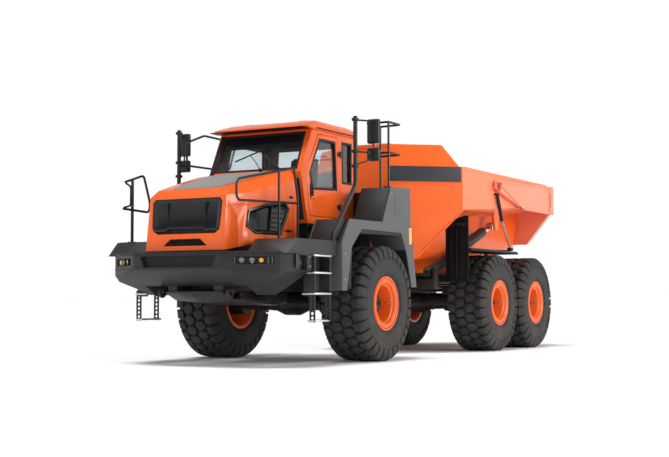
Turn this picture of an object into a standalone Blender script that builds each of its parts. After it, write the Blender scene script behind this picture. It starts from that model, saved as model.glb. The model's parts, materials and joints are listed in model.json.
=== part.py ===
"""Articulated six-wheel dump truck, full size, as separate named solids.

Metres, +Z up. The truck faces -Y and its left side is +X. Every shape is modelled from the front axle's
centre line on the ground, and one empty moves the whole truck so that its box is centred on the origin.
"""

from math import hypot, pi, radians

import bmesh
import bpy
from mathutils import Matrix, Vector

# Overall reach from the front axle's centre line.
FRONT_REACH = 3.27
REAR_REACH = 8.15
GAP = 0.0003
CLEARANCE = 0.012

# Running gear.
TYRE_RADIUS = 0.93
TYRE_WIDTH = 0.765
RIM_RADIUS = 0.405
RIM_LIP = 0.035
RIM_EDGE = 0.33
DISC_BACK = 0.06
HALF_TRACK = 1.405
MID_AXLE_Y = 4.86
BOGIE_SPREAD = 1.98
AXLE_RADIUS = 0.16
BOGIE_BEAM_X = (0.62, 0.78)

# Frames and the pivot between them.
PIVOT_Y = 1.52
RAIL_X = (0.34, 0.50)
FRONT_RAIL_Z = (1.12, 1.42)
REAR_RAIL_Z = (1.16, 1.50)
REAR_FRAME_END = 7.38
LUG_RADIUS = 0.26
LUG_Z = (1.04, 1.56)
LUG_THICKNESS = 0.09
KING_PIN_RADIUS = 0.085

# Bumper, side boxes and deck.
BUMPER_FLAT_HALF = 0.79
BUMPER_CORNER = (1.50, 0.43)
BUMPER_HALF = 1.62
BUMPER_Z = (1.06, 1.68)
BUMPER_CHIN_Z = 1.43
BUMPER_KEEL_HALF = 1.00
BUMPER_DEPTH = 0.46
SIDE_BOX_END = -2.14
DECK_END = -1.40
DECK_X = (0.93, 1.64)
DECK_TOP = 1.88
DECK_NOSE = (-2.84, -2.62)
LAMP_POCKET = ((-2.50, 1.42), (-2.27, 1.64))

# Hood, hinged at its lower front edge.
HOOD_WALL = 0.04
HOOD_FOOT = (0.71, -3.10, 1.705)
HOOD_BROW = (0.69, -3.02, 2.52)
HOOD_NOSE = (0.62, -2.92, 2.63)
HOOD_SHOULDER_Y = -1.75
HOOD_REAR = -1.275
HOOD_HALF = 0.85
HOOD_SKIRT = 1.92
HOOD_TOP_REAR = 3.02
GRILLE_THICKNESS = 0.03
# Side vent in the hood, as (y, z) corners.
HOOD_VENT = [(-2.60, 2.08), (-2.40, 1.98), (-1.78, 1.98), (-1.54, 2.38), (-1.66, 2.49), (-2.15, 2.43),
             (-2.55, 2.32)]

# Cab.
CAB_HALF = 0.88
CAB_WALL = 0.07
CAB_FLOOR = 2.20
CAB_EAVES = 3.72
CAB_BELT = 3.02
CAB_FRONT_FOOT = -1.02
CAB_FRONT_BELT = -1.22
CAB_FRONT_EAVES = -0.88
CAB_REAR = 0.50
ROOF_TOP = 3.89
ROOF_OVERHANG = 0.04
VISOR_REACH = 0.16
GLASS = 0.008
DOOR_HINGE_Y = 0.03
DOOR_SILL = 2.33

# Platform under the cab and the housing behind it.
CAB_BASE_HALF = 0.86
TOWER_HALF = 1.00
TOWER_Y = (0.56, 0.88)
TOWER_TOP = 2.80

# Front fenders.
FENDER_X = (1.08, 1.70)
FENDER_BOX_X = 1.16
# Side outlines as (y, z) corners; the box's sloping front leaves room for the open door.
FENDER_ARCH = [(-1.36, 1.13), (-1.36, 1.86), (-1.12, 2.24), (1.03, 2.26), (1.24, 1.20), (1.05, 1.20), (0.86, 1.78),
               (0.66, 2.10), (-0.72, 2.10), (-1.06, 1.80), (-1.20, 1.13)]
FENDER_BOX = [(-0.03, 2.20), (0.29, 2.84), (1.00, 2.87), (1.03, 2.20)]
FENDER_BOX_TOP = 2.845

# Load body.
BODY_HALF = 1.60
BODY_KEEL_HALF = 0.80
BODY_WAIST_HALF = 0.93
BODY_WALL = 0.06
BODY_FRONT = 2.52
BODY_NOSE_HALF = 0.50
BODY_FOLD_Y = 3.44
BODY_REAR = 8.00
BODY_RAIL = 3.47
HEADBOARD_TOP = 3.87
HEADBOARD_RAMP = (3.18, 3.40)
KEEL_Z = (1.70, 2.12)
WAIST_RISE = 0.74
KNUCKLE_RISE = 0.90
TIP_PIVOT = (7.15, 1.45)
TIP_LUG_X = (0.56, 0.68)
TIP_PIN_RADIUS = 0.05

# Tailgate.
GATE_PIVOT = (5.00, 3.24)
GATE_PLATE = 0.11
GATE_ARM_X = (1.625, 1.70)

# Cylinders.
TIP_RAM_X = 1.085
TIP_RAM_BASE = (3.05, 1.50)
TIP_RAM_PIN = (6.00, 2.50)
TIP_RAM_RADIUS = 0.10
TIP_ROD_RADIUS = 0.06
STEER_RAM_Z = 0.93
STEER_RAM_BASE = (0.58, 0.66)
STEER_RAM_PIN = (0.46, 2.22)
STEER_RAM_RADIUS = 0.07
STEER_ROD_RADIUS = 0.04
STEER_STROKE = 0.40

RAIL_TUBE = 0.019
ROUND = 24

COLOURS = {
    "orange": (0.80, 0.13, 0.015, 0.45, 0.0),
    "grey": (0.11, 0.11, 0.115, 0.55, 0.0),
    "dark": (0.03, 0.03, 0.032, 0.55, 0.0),
    "rubber": (0.02, 0.02, 0.02, 0.9, 0.0),
    "steel": (0.35, 0.35, 0.36, 0.35, 0.9),
    "glass": (0.35, 0.42, 0.45, 0.05, 0.0),
    "trim": (0.05, 0.05, 0.055, 0.7, 0.0),
}


def clear_scene():
    for item in list(bpy.data.objects):
        bpy.data.objects.remove(item, do_unlink=True)


def material(name, kind):
    red, green, blue, rough, metal = COLOURS[kind]
    made = bpy.data.materials.new(name)
    made.use_nodes = True
    shader = made.node_tree.nodes["Principled BSDF"]
    shader.inputs["Base Color"].default_value = (red, green, blue, 1.0)
    shader.inputs["Roughness"].default_value = rough
    shader.inputs["Metallic"].default_value = metal
    return made


def new_object(name, bm):
    """A linked object holding this mesh, with its normals facing out."""
    bmesh.ops.recalc_face_normals(bm, faces=bm.faces)
    mesh = bpy.data.meshes.new(name)
    bm.to_mesh(mesh)
    bm.free()
    made = bpy.data.objects.new(name, mesh)
    bpy.context.scene.collection.objects.link(made)
    return made


def box(low, high):
    bm = bmesh.new()
    bmesh.ops.create_cube(bm, size=1.0)
    size = [b - a for a, b in zip(low, high)]
    middle = [(a + b) / 2 for a, b in zip(low, high)]
    bmesh.ops.scale(bm, vec=size, verts=bm.verts)
    bmesh.ops.translate(bm, vec=middle, verts=bm.verts)
    return new_object("box", bm)


def prism(outline, start, end, axis="x"):
    """The flat outline, in the two other axes in order, extruded along one axis."""
    spot = {"x": lambda u, v: (start, u, v), "y": lambda u, v: (u, start, v), "z": lambda u, v: (u, v, start)}
    step = {"x": (end - start, 0, 0), "y": (0, end - start, 0), "z": (0, 0, end - start)}[axis]
    bm = bmesh.new()
    face = bm.faces.new([bm.verts.new(spot[axis](u, v)) for u, v in outline])
    grown = bmesh.ops.extrude_face_region(bm, geom=[face])["geom"]
    bmesh.ops.translate(bm, vec=step, verts=[v for v in grown if isinstance(v, bmesh.types.BMVert)])
    return new_object("prism", bm)


def loft(rings):
    """A solid through rings with the same even number of points, its ends closed by strips across the ring."""
    bm = bmesh.new()
    rows = [[bm.verts.new(point) for point in ring] for ring in rings]
    count = len(rows[0])
    for first, second in zip(rows, rows[1:]):
        for i in range(count):
            j = (i + 1) % count
            bm.faces.new((first[i], first[j], second[j], second[i]))
    for row in (rows[0], rows[-1]):
        for i in range(count // 2 - 1):
            bm.faces.new((row[i], row[i + 1], row[count - 2 - i], row[count - 1 - i]))
    return new_object("loft", bm)


def turned(profile, centre, axis="x", segments=ROUND, loop=False):
    """The (along, radius) profile turned about an axis through centre; a loop profile closes on itself."""
    along = {"x": Vector((1, 0, 0)), "y": Vector((0, 1, 0)), "z": Vector((0, 0, 1))}[axis]
    out = {"x": Vector((0, 0, -1)), "y": Vector((1, 0, 0)), "z": Vector((1, 0, 0))}[axis]
    bm = bmesh.new()
    points = [bm.verts.new(Vector(centre) + along * a + out * r) for a, r in profile]
    edges = [bm.edges.new(pair) for pair in zip(points, points[1:])]
    if loop:
        edges.append(bm.edges.new((points[-1], points[0])))
    bmesh.ops.spin(
        bm, geom=points + edges, cent=centre, axis=along, angle=2 * pi, steps=segments, use_merge=True
    )
    bmesh.ops.remove_doubles(bm, verts=bm.verts, dist=1e-5)
    return new_object("turned", bm)


def rod(start, end, radius, segments=12):
    """A round bar from one point to another."""
    start, end = Vector(start), Vector(end)
    bm = bmesh.new()
    bmesh.ops.create_cone(
        bm, cap_ends=True, segments=segments, radius1=radius, radius2=radius, depth=(end - start).length
    )
    turn = (end - start).to_track_quat("Z", "Y").to_matrix().to_4x4()
    bmesh.ops.transform(bm, matrix=Matrix.Translation((start + end) / 2) @ turn, verts=bm.verts)
    return new_object("rod", bm)


def bar(points, radius=RAIL_TUBE, sides=1):
    """A bent tube through the points, as a mesh with filled caps."""
    curve = bpy.data.curves.new("bar", "CURVE")
    curve.dimensions = "3D"
    curve.bevel_depth = radius
    curve.bevel_resolution = sides
    curve.use_fill_caps = True
    spline = curve.splines.new("POLY")
    spline.points.add(len(points) - 1)
    for spot, point in zip(spline.points, points):
        spot.co = (*point, 1.0)
    guide = bpy.data.objects.new("bar", curve)
    bpy.context.scene.collection.objects.link(guide)
    made = baked(guide)
    bm = bmesh.new()
    bm.from_mesh(made.data)
    bmesh.ops.remove_doubles(bm, verts=bm.verts, dist=1e-6)
    bmesh.ops.recalc_face_normals(bm, faces=bm.faces)
    bm.to_mesh(made.data)
    bm.free()
    return made


def baked(item):
    """The object as its modifiers leave it, as a plain mesh object; the first object is removed."""
    graph = bpy.context.evaluated_depsgraph_get()
    mesh = bpy.data.meshes.new_from_object(item.evaluated_get(graph))
    mesh.transform(item.matrix_world)
    made = bpy.data.objects.new(item.name, mesh)
    bpy.data.objects.remove(item, do_unlink=True)
    bpy.context.scene.collection.objects.link(made)
    return made


def combined(item, others, operation):
    for other in others:
        step = item.modifiers.new(operation.lower(), "BOOLEAN")
        step.operation = operation
        step.solver = "EXACT"
        step.object = other
        item = baked(item)
        bpy.data.objects.remove(other, do_unlink=True)
    return item


def fused(*pieces):
    return combined(pieces[0], pieces[1:], "UNION")


def cut(item, *cutters):
    return combined(item, cutters, "DIFFERENCE")


def mirrored(points, side):
    return [(side * x, y, z) for x, y, z in points]


def span(side, near, far):
    """The low and high x of a piece between two distances from the middle, on one side."""
    return tuple(sorted((side * near, side * far)))


def node(name, item, kind, truck, pivot=(0, 0, 0)):
    """Names the finished piece, gives it its material and puts its origin on its joint."""
    item.name = name
    item.data.name = name
    item.data.transform(Matrix.Translation(-Vector(pivot)))
    item.location = pivot
    item.parent = truck
    item.data.materials.clear()
    item.data.materials.append(material(name, kind))
    item.data.shade_smooth()
    item.data.set_sharp_from_angle(angle=radians(35))
    return item


# ---------------------------------------------------------------- front unit


def front_frame(truck):
    """Two rails with cross members, ending in the upper and lower hitch plates and the king pin."""
    low, high = FRONT_RAIL_Z
    pieces = []
    for side in (-1, 1):
        x0, x1 = span(side, *RAIL_X)
        pieces.append(box((x0, -FRONT_REACH + BUMPER_DEPTH + GAP, low), (x1, PIVOT_Y - 0.46, high)))
    for y in (-2.40, -0.75, 0.30):
        pieces.append(box((-RAIL_X[0] - 0.02, y - 0.09, low + 0.04), (RAIL_X[0] + 0.02, y + 0.09, high - 0.04)))
    wall_end = PIVOT_Y - LUG_RADIUS - 0.06
    pieces.append(box((-RAIL_X[1], PIVOT_Y - 0.62, LUG_Z[0]), (RAIL_X[1], wall_end, LUG_Z[1])))
    for z in (LUG_Z[0], LUG_Z[1] - LUG_THICKNESS):
        pieces.append(box((-LUG_RADIUS, wall_end - 0.05, z), (LUG_RADIUS, PIVOT_Y, z + LUG_THICKNESS)))
        pieces.append(rod((0, PIVOT_Y, z), (0, PIVOT_Y, z + LUG_THICKNESS), LUG_RADIUS, ROUND))
    pieces.append(rod((0, PIVOT_Y, LUG_Z[0] + 0.02), (0, PIVOT_Y, LUG_Z[1] - 0.02), KING_PIN_RADIUS, ROUND))
    for side in (-1, 1):
        ram_x, ram_y = STEER_RAM_BASE
        x0, x1 = span(side, RAIL_X[1] - 0.02, ram_x + 0.10)
        top = STEER_RAM_Z + STEER_RAM_RADIUS + 0.012
        pieces.append(box((x0, ram_y - 0.09, top), (x1, ram_y + 0.09, top + 0.09)))
        x0, x1 = span(side, *RAIL_X)
        pieces.append(box((x0, ram_y - 0.09, top), (x1, ram_y + 0.09, low + 0.02)))
    return node("front_frame", fused(*pieces), "dark", truck)


def axle_profile(tube, seat):
    """One side of an axle housing, as (distance from the middle, radius), from the differential outwards."""
    inner, outer = seat
    end = HALF_TRACK - DISC_BACK - CLEARANCE
    return [(0.0, 0.20), (0.14, 0.20), (0.30, 0.13), (inner, tube), (inner, AXLE_RADIUS), (outer, AXLE_RADIUS),
            (outer, tube), (0.92, tube), (0.92, 0.19), (end, 0.19), (end, 0.0)]


def axle_housing(y, tube, seat):
    """A whole axle housing, turned about its own centre line."""
    half = axle_profile(tube, seat)
    profile = [(-along, radius) for along, radius in reversed(half[1:])] + half[1:]
    return turned(profile, (0, y, TYRE_RADIUS), segments=16)


def front_axle(truck):
    pieces = [axle_housing(0.0, 0.11, (0.56, 0.60))]
    for side in (-1, 1):
        x0, x1 = span(side, RAIL_X[0] + 0.01, RAIL_X[1] - 0.01)
        pieces.append(box((x0, -0.12, TYRE_RADIUS), (x1, 0.12, FRONT_RAIL_Z[0] - GAP)))
    return node("front_axle", fused(*pieces), "dark", truck)


def bumper_outline(half_inner):
    """The plan of the bumper and its side boxes, a U that is open to the rear."""
    corner_x, corner_back = BUMPER_CORNER
    front = -FRONT_REACH
    right = [
        (BUMPER_FLAT_HALF, front),
        (corner_x, front + corner_back),
        (BUMPER_HALF, front + corner_back + 0.30),
        (BUMPER_HALF, SIDE_BOX_END),
        (half_inner, SIDE_BOX_END),
        (half_inner, front + BUMPER_DEPTH),
    ]
    return right + [(-x, y) for x, y in reversed(right)]


def front_bumper(truck):
    """Bumper, side boxes and decks: one fabricated U, tapered below like a hull, with lamp pockets."""
    low, high = BUMPER_Z
    front = -FRONT_REACH
    body = prism(bumper_outline(DECK_X[0]), low, high, "z")
    cutters = [prism([(front - 0.1, low - 0.2), (front + 0.72, low - 0.2), (front + 0.72, low), (front, BUMPER_CHIN_Z),
                      (front - 0.1, BUMPER_CHIN_Z)], -2, 2)]
    decks = []
    toe, crest = DECK_NOSE
    (pocket_y0, pocket_z0), (pocket_y1, pocket_z1) = LAMP_POCKET
    for side in (-1, 1):
        decks.append(prism([(toe, high - 0.02), (crest, DECK_TOP), (DECK_END, DECK_TOP), (DECK_END, high - 0.02)],
                           *span(side, *DECK_X)))
        cutters.append(prism([(side * BUMPER_KEEL_HALF, low), (side * BUMPER_HALF, BUMPER_CHIN_Z),
                              (side * 2, BUMPER_CHIN_Z), (side * 2, low - 0.2), (side * BUMPER_KEEL_HALF, low - 0.2)],
                             front - 0.2, SIDE_BOX_END + 0.1, "y"))
        x0, x1 = span(side, BUMPER_HALF - 0.10, BUMPER_HALF + 0.1)
        cutters.append(box((x0, pocket_y0, pocket_z0), (x1, pocket_y1, pocket_z1)))
    return node("front_bumper", cut(fused(body, *decks), *cutters), "grey", truck)


def engine_block(truck):
    low = FRONT_RAIL_Z[1] + GAP
    return node("engine_block", box((-0.42, -2.55, low), (0.42, -1.45, 2.45)), "dark", truck)


def cab_base(truck):
    """The boxed platform that carries the cab on the rails."""
    low, high = FRONT_RAIL_Z[1] + GAP, CAB_FLOOR - GAP
    side = [(CAB_FRONT_FOOT + 0.02, low), (CAB_REAR, low), (CAB_REAR, high), (CAB_FRONT_FOOT + 0.02, high)]
    return node("cab_base", prism(side, -CAB_BASE_HALF, CAB_BASE_HALF), "trim", truck)


def service_tower(truck):
    """Tanks and coolers behind the cab, in one dark housing between the fenders."""
    low = FRONT_RAIL_Z[1] + GAP
    rear = TOWER_Y[1]
    side = [(TOWER_Y[0], low), (rear, low), (rear, TOWER_TOP - 0.12), (rear - 0.12, TOWER_TOP),
            (TOWER_Y[0], TOWER_TOP)]
    return node("service_tower", prism(side, -TOWER_HALF, TOWER_HALF), "trim", truck)


def hood_ring(y, half, foot, brow, top, crown, inset):
    """One closed section of the hood at this y: skirt, shoulder and slightly crowned top."""
    half, top = half - inset, top - inset
    brow = brow - inset * 0.6
    shoulder = crown - inset * 0.6
    right = [(half, foot), (half * 0.985, brow), (shoulder, top)]
    return [(x, y, z) for x, z in right] + [(-x, y, z) for x, z in reversed(right)]


def hood_lean():
    """How far the hood's front face leans back for each metre of height."""
    return (HOOD_BROW[1] - HOOD_FOOT[1]) / (HOOD_BROW[2] - HOOD_FOOT[2])


def hood_shape(inset, below=0.0, behind=0.0):
    foot_half, foot_y, foot_z = HOOD_FOOT
    brow_half, brow_y, brow_z = HOOD_BROW
    nose_half, nose_y, nose_z = HOOD_NOSE
    front = [
        (foot_half - inset, foot_y + inset - below * hood_lean(), foot_z - below),
        (brow_half - inset, brow_y + inset, brow_z - inset * 0.6),
        (nose_half - inset * 0.6, nose_y + inset, nose_z - inset),
    ]
    rings = [front + [(-x, y, z) for x, y, z in reversed(front)]]
    for y, half, foot, brow, top, crown in (
        (-2.55, 0.78, 1.80, 2.58, 2.735, 0.66),
        (HOOD_SHOULDER_Y, HOOD_HALF, HOOD_SKIRT, 2.78, 2.94, 0.72),
        (HOOD_REAR + behind, HOOD_HALF, HOOD_SKIRT, 2.87, HOOD_TOP_REAR, 0.72),
    ):
        rings.append(hood_ring(y, half, foot - below, brow, top, crown, inset))
    return loft(rings)


def hood(truck):
    """The engine cover, open below and to the rear, with its grille opening, lower slot and side vents."""
    shell = cut(hood_shape(0.0), hood_shape(HOOD_WALL, below=0.3, behind=0.3))
    grille_cut = prism([(-0.60, 2.02), (-0.52, 1.96), (0.52, 1.96), (0.60, 2.02), (0.62, 2.44), (0.56, 2.47),
                        (-0.56, 2.47), (-0.62, 2.44)], HOOD_FOOT[1] - 0.3, HOOD_FOOT[1] + 0.3, "y")
    slot = prism([(-0.39, 1.78), (0.39, 1.78), (0.27, 1.88), (-0.27, 1.88)], HOOD_FOOT[1] - 0.3,
                 HOOD_FOOT[1] + 0.3, "y")
    vents = []
    for side in (-1, 1):
        x0, x1 = span(side, HOOD_HALF - 0.12, HOOD_HALF + 0.1)
        vents.append(prism(HOOD_VENT, x0, x1))
    return node("hood", cut(shell, grille_cut, slot, *vents), "orange", truck, (0, HOOD_FOOT[1], HOOD_FOOT[2]))


def grille(truck):
    """The dark panel that closes the hood's front opening from inside the skin."""
    rows = []
    for step in (GAP, GRILLE_THICKNESS):
        ring = []
        for x, z in ((-0.63, 1.94), (0.63, 1.94), (0.63, 2.465), (-0.63, 2.465)):
            ring.append((x, HOOD_FOOT[1] + (z - HOOD_FOOT[2]) * hood_lean() + HOOD_WALL + 0.004 + step, z))
        rows.append(ring)
    return node("grille", loft(rows), "trim", truck, (0, HOOD_FOOT[1], HOOD_FOOT[2]))


def cab_outline(inset):
    """The cab's side outline, foot to eaves."""
    return [
        (CAB_FRONT_FOOT + inset, CAB_FLOOR + inset),
        (CAB_FRONT_BELT + inset, CAB_BELT),
        (CAB_FRONT_EAVES + inset, CAB_EAVES),
        (CAB_REAR - inset, CAB_EAVES),
        (CAB_REAR - inset, CAB_FLOOR + inset),
    ]


def door_outline(grow=0.0):
    return [
        (-0.94 - grow, DOOR_SILL - grow),
        (-1.04 - grow, CAB_BELT),
        (-0.70 - grow, 3.66 + grow),
        (-0.07 + grow, 3.66 + grow),
        (0.00 + grow, DOOR_SILL - grow),
    ]


def door_window(shrink=0.0):
    return [
        (-0.86 + shrink, 2.76 + shrink),
        (-0.95 + shrink, CAB_BELT),
        (-0.64 + shrink, 3.58 - shrink),
        (-0.14 - shrink, 3.58 - shrink),
        (-0.08 - shrink, 2.80 + shrink),
    ]


def quarter_window(shrink=0.0):
    return [(0.12 + shrink, 2.93 + shrink), (0.42 - shrink, 2.93 + shrink), (0.42 - shrink, 3.60 - shrink),
            (0.10 + shrink, 3.60 - shrink)]


def right_window(shrink=0.0):
    return [(-0.88 + shrink, 2.80 + shrink), (-0.62 + shrink, 3.58 - shrink), (0.40 - shrink, 3.58 - shrink),
            (0.40 - shrink, 2.80 + shrink)]


def rear_window(shrink=0.0):
    return [(-0.66 + shrink, 2.90 + shrink), (0.66 - shrink, 2.90 + shrink), (0.62 - shrink, 3.58 - shrink),
            (-0.62 + shrink, 3.58 - shrink)]


def windshield_pane(half_low, half_high, thickness, margin, back=0.0):
    """A leaning sheet in the windshield's plane; margin shortens it at the top and bottom."""
    rise = CAB_EAVES - CAB_BELT
    run = CAB_FRONT_EAVES - CAB_FRONT_BELT
    length = hypot(rise, run)
    normal = Vector((0, rise / length, -run / length))
    low = Vector((0, CAB_FRONT_BELT, CAB_BELT)) + Vector((0, run, rise)) * (margin / length) + normal * back
    high = Vector((0, CAB_FRONT_EAVES, CAB_EAVES)) - Vector((0, run, rise)) * (margin / length) + normal * back
    ring = [low + Vector((-half_low, 0, 0)), low + Vector((half_low, 0, 0)),
            high + Vector((half_high, 0, 0)), high + Vector((-half_high, 0, 0))]
    return loft([ring, [point + normal * thickness for point in ring]])


def cab_shell(truck):
    """Floor, pillars and panels, open at the top under the roof."""
    outer = prism(cab_outline(0.0), -CAB_HALF, CAB_HALF)
    inner_line = cab_outline(CAB_WALL)
    inner_line[2] = (inner_line[2][0] + 0.10, CAB_EAVES + 0.2)
    inner_line[3] = (inner_line[3][0], CAB_EAVES + 0.2)
    inner = prism(inner_line, -CAB_HALF + CAB_WALL, CAB_HALF - CAB_WALL)
    left = (CAB_HALF - CAB_WALL - 0.05, CAB_HALF + 0.1)
    right = (-CAB_HALF - 0.1, -CAB_HALF + CAB_WALL + 0.05)
    cutters = [
        prism(door_outline(0.008), *left),
        prism(quarter_window(), *left),
        prism(right_window(), *right),
        prism(rear_window(), CAB_REAR - CAB_WALL - 0.05, CAB_REAR + 0.1, "y"),
        windshield_pane(0.78, 0.76, 0.30, 0.05, -0.1),
    ]
    return node("cab_shell", cut(outer, inner, *cutters), "orange", truck)


def cab_roof(truck):
    """The roof cap with its sloping visor."""
    half = CAB_HALF + ROOF_OVERHANG
    front = CAB_FRONT_EAVES - VISOR_REACH
    base = CAB_EAVES + GAP
    side = [(front, base + 0.02), (front, base + 0.05), (CAB_FRONT_EAVES + 0.20, ROOF_TOP),
            (CAB_REAR - 0.10, ROOF_TOP), (CAB_REAR + ROOF_OVERHANG, ROOF_TOP - 0.05),
            (CAB_REAR + ROOF_OVERHANG, base), (CAB_FRONT_EAVES - 0.02, base)]
    cap = prism(side, -half, half)
    trims = []
    for s in (-1, 1):
        trims.append(prism([(s * half, ROOF_TOP - 0.08), (s * (half - 0.14), ROOF_TOP + 0.01),
                            (s * (half + 0.1), ROOF_TOP + 0.01)], front - 0.1, CAB_REAR + 0.2, "y"))
    return node("cab_roof", cut(cap, *trims), "orange", truck)


def cab_door(truck):
    hinge = (CAB_HALF + 0.012, DOOR_HINGE_Y, DOOR_SILL)
    leaf = prism(door_outline(), CAB_HALF - CAB_WALL, CAB_HALF)
    window = prism(door_window(), CAB_HALF - CAB_WALL - 0.05, CAB_HALF + 0.05)
    handle = box((CAB_HALF - 0.01, -0.93, 2.60), (CAB_HALF + 0.03, -0.80, 2.64))
    made = node("cab_door", fused(cut(leaf, window), handle), "orange", truck, hinge)
    middle = CAB_HALF - CAB_WALL / 2
    pane = prism(door_window(GAP), middle - GLASS / 2, middle + GLASS / 2)
    node("door_glass", pane, "glass", truck, hinge)
    return made


def cab_glass(truck):
    """The fixed panes, each a sheet in its own opening."""
    middle = CAB_HALF - CAB_WALL / 2
    node("quarter_glass", prism(quarter_window(GAP), middle - GLASS / 2, middle + GLASS / 2), "glass", truck)
    node("right_glass", prism(right_window(GAP), -middle - GLASS / 2, -middle + GLASS / 2), "glass", truck)
    rear = CAB_REAR - CAB_WALL / 2
    node("rear_glass", prism(rear_window(GAP), rear - GLASS / 2, rear + GLASS / 2, "y"), "glass", truck)
    pane = windshield_pane(0.78 - GAP, 0.76 - GAP, GLASS, 0.05 + GAP, 0.02)
    node("windshield", pane, "glass", truck)


def cab_interior(truck):
    """Floor plate, seat, dashboard and steering wheel as one fitted piece."""
    floor = CAB_FLOOR + CAB_WALL + GAP
    pieces = [
        box((-0.70, -0.82, floor), (0.70, 0.36, floor + 0.03)),
        box((-0.22, -0.12, floor + 0.02), (0.26, 0.22, floor + 0.30)),
        box((-0.26, -0.26, floor + 0.28), (0.30, 0.24, floor + 0.44)),
        prism([(0.14, floor + 0.40), (0.26, floor + 0.40), (0.34, floor + 1.12), (0.25, floor + 1.12)], -0.24, 0.28),
        box((-0.66, -0.86, floor + 0.01), (0.60, -0.74, floor + 0.62)),
        box((0.34, -0.20, floor + 0.01), (0.56, 0.22, floor + 0.58)),
        rod((0.02, -0.78, floor + 0.50), (0.02, -0.52, floor + 0.74), 0.03, 8),
    ]
    wheel = turned([(0.0, 0.17), (0.015, 0.19), (0.0, 0.21), (-0.015, 0.19)], (0, 0, 0), "z", 16, loop=True)
    spoke = box((-0.19, -0.03, -0.012), (0.19, 0.03, 0.012))
    turn = Matrix.Translation((0.02, -0.53, floor + 0.73)) @ Matrix.Rotation(radians(-48), 4, "X")
    for item in (wheel, spoke):
        item.data.transform(turn)
    return node("cab_interior", fused(*pieces, spoke, wheel), "trim", truck)


def fender(truck, side, name):
    """Wheel arch with the tall box on its top."""
    x0, x1 = span(side, *FENDER_X)
    b0, b1 = span(side, FENDER_BOX_X, FENDER_X[1])
    top_box = prism(FENDER_BOX, b0, b1)
    return node(name, fused(prism(FENDER_ARCH, x0, x1), top_box), "grey", truck)


def ladder(truck, side, name):
    """Side steps under the deck, with a hanging lower rung."""
    top = BUMPER_Z[1] - 0.02 - GAP
    front, rear = SIDE_BOX_END + 0.01, -1.62
    x0, x1 = span(side, 1.42, 1.66)
    pieces = [box((x0, front, top - 0.03), (x1, rear, top))]
    for y in (front, rear - 0.03):
        pieces.append(box((x0, y, 1.03), (x1, y + 0.03, top)))
        a0, a1 = span(side, 1.58, 1.61)
        pieces.append(box((a0, y, 0.66), (a1, y + 0.03, 1.10)))
    for z in (1.37, 1.06):
        pieces.append(box((x0, front, z), (x1, rear, z + 0.03)))
    a0, a1 = span(side, 1.52, 1.64)
    pieces.append(box((a0, front, 0.66), (a1, rear, 0.69)))
    return node(name, fused(*pieces), "dark", truck)


def mirror_post(truck, side, name):
    """Bent post on the deck's rear corner, carrying two mirror heads."""
    post = bar(mirrored([(1.58, DECK_END - 0.05, DECK_TOP + GAP), (1.58, DECK_END - 0.05, 1.98), (1.70, -0.94, 2.78),
                         (1.70, -0.94, 3.86)], side), 0.032, 2)
    arms = [bar(mirrored([(1.70, -0.94, z), (1.84, -0.72, z), (1.84, -0.60, z)], side), 0.014) for z in (3.80, 3.30)]
    x0, x1 = span(side, 1.73, 1.95)
    heads = [box((x0, -0.62, 3.46), (x1, -0.54, 3.84)), box((x0, -0.62, 3.18), (x1, -0.54, 3.38))]
    link = bar(mirrored([(1.84, -0.60, 3.50), (1.84, -0.60, 3.34)], side), 0.014)
    return node(name, fused(post, *arms, *heads, link), "dark", truck)


def front_rails(truck):
    """The long rail beside the hood on the left, and the short hoop on the right."""
    foot = DECK_TOP + GAP
    loop = bar([(0.99, -1.50, foot), (0.99, -1.50, 2.55), (0.99, -1.62, 3.02), (0.99, -3.14, 2.73),
                (0.99, -3.20, 2.67), (0.99, -3.20, 2.47), (0.99, -3.14, 2.42), (0.99, -1.50, 2.48)])
    post = bar([(0.99, -2.05, foot), (0.99, -2.05, 2.935)])
    node("front_rail_left", fused(loop, post), "dark", truck)
    hoop = bar([(-1.40, -2.56, foot), (-1.40, -2.56, 2.88)])
    ring = bar([(-1.40, -2.74, 2.82), (-1.40, -2.28, 2.96), (-1.40, -2.11, 2.52), (-1.40, -2.14, 2.38),
                (-1.40, -2.78, 2.40), (-1.40, -2.74, 2.80)])
    node("front_rail_right", fused(hoop, ring), "dark", truck)


def rear_rails(truck):
    """Guard rails that stand on the fender boxes: a short one on the door side, a long loop on the other."""
    foot = FENDER_BOX_TOP
    x, y, top = 1.64, 0.32, 3.93
    posts = [bar([(x, y, foot), (x, y, top)]), bar([(1.24, 0.80, foot + 0.02), (1.24, 0.80, top), (x, 0.74, top),
                                                   (x, y, top), (1.24, y, top)])]
    lower = bar([(1.24, y, 3.42), (x, y, 3.42), (x, 0.74, 3.42), (1.24, 0.80, 3.42)])
    node("rear_rail_left", fused(*posts, lower), "dark", truck)
    post = bar([(-x, y, foot), (-x, y, 3.83)])
    loop = bar([(-x, y - 0.002, 3.27), (-x, -0.76, 3.27), (-x, -0.80, 3.31), (-x, -0.80, 3.66), (-x, -0.30, 3.84),
                (-x, 0.70, 3.82), (-x, 0.48, 3.31), (-x, y + 0.002, 3.28)])
    node("rear_rail_right", fused(loop, post), "dark", truck)


# ---------------------------------------------------------------- rear unit


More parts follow.
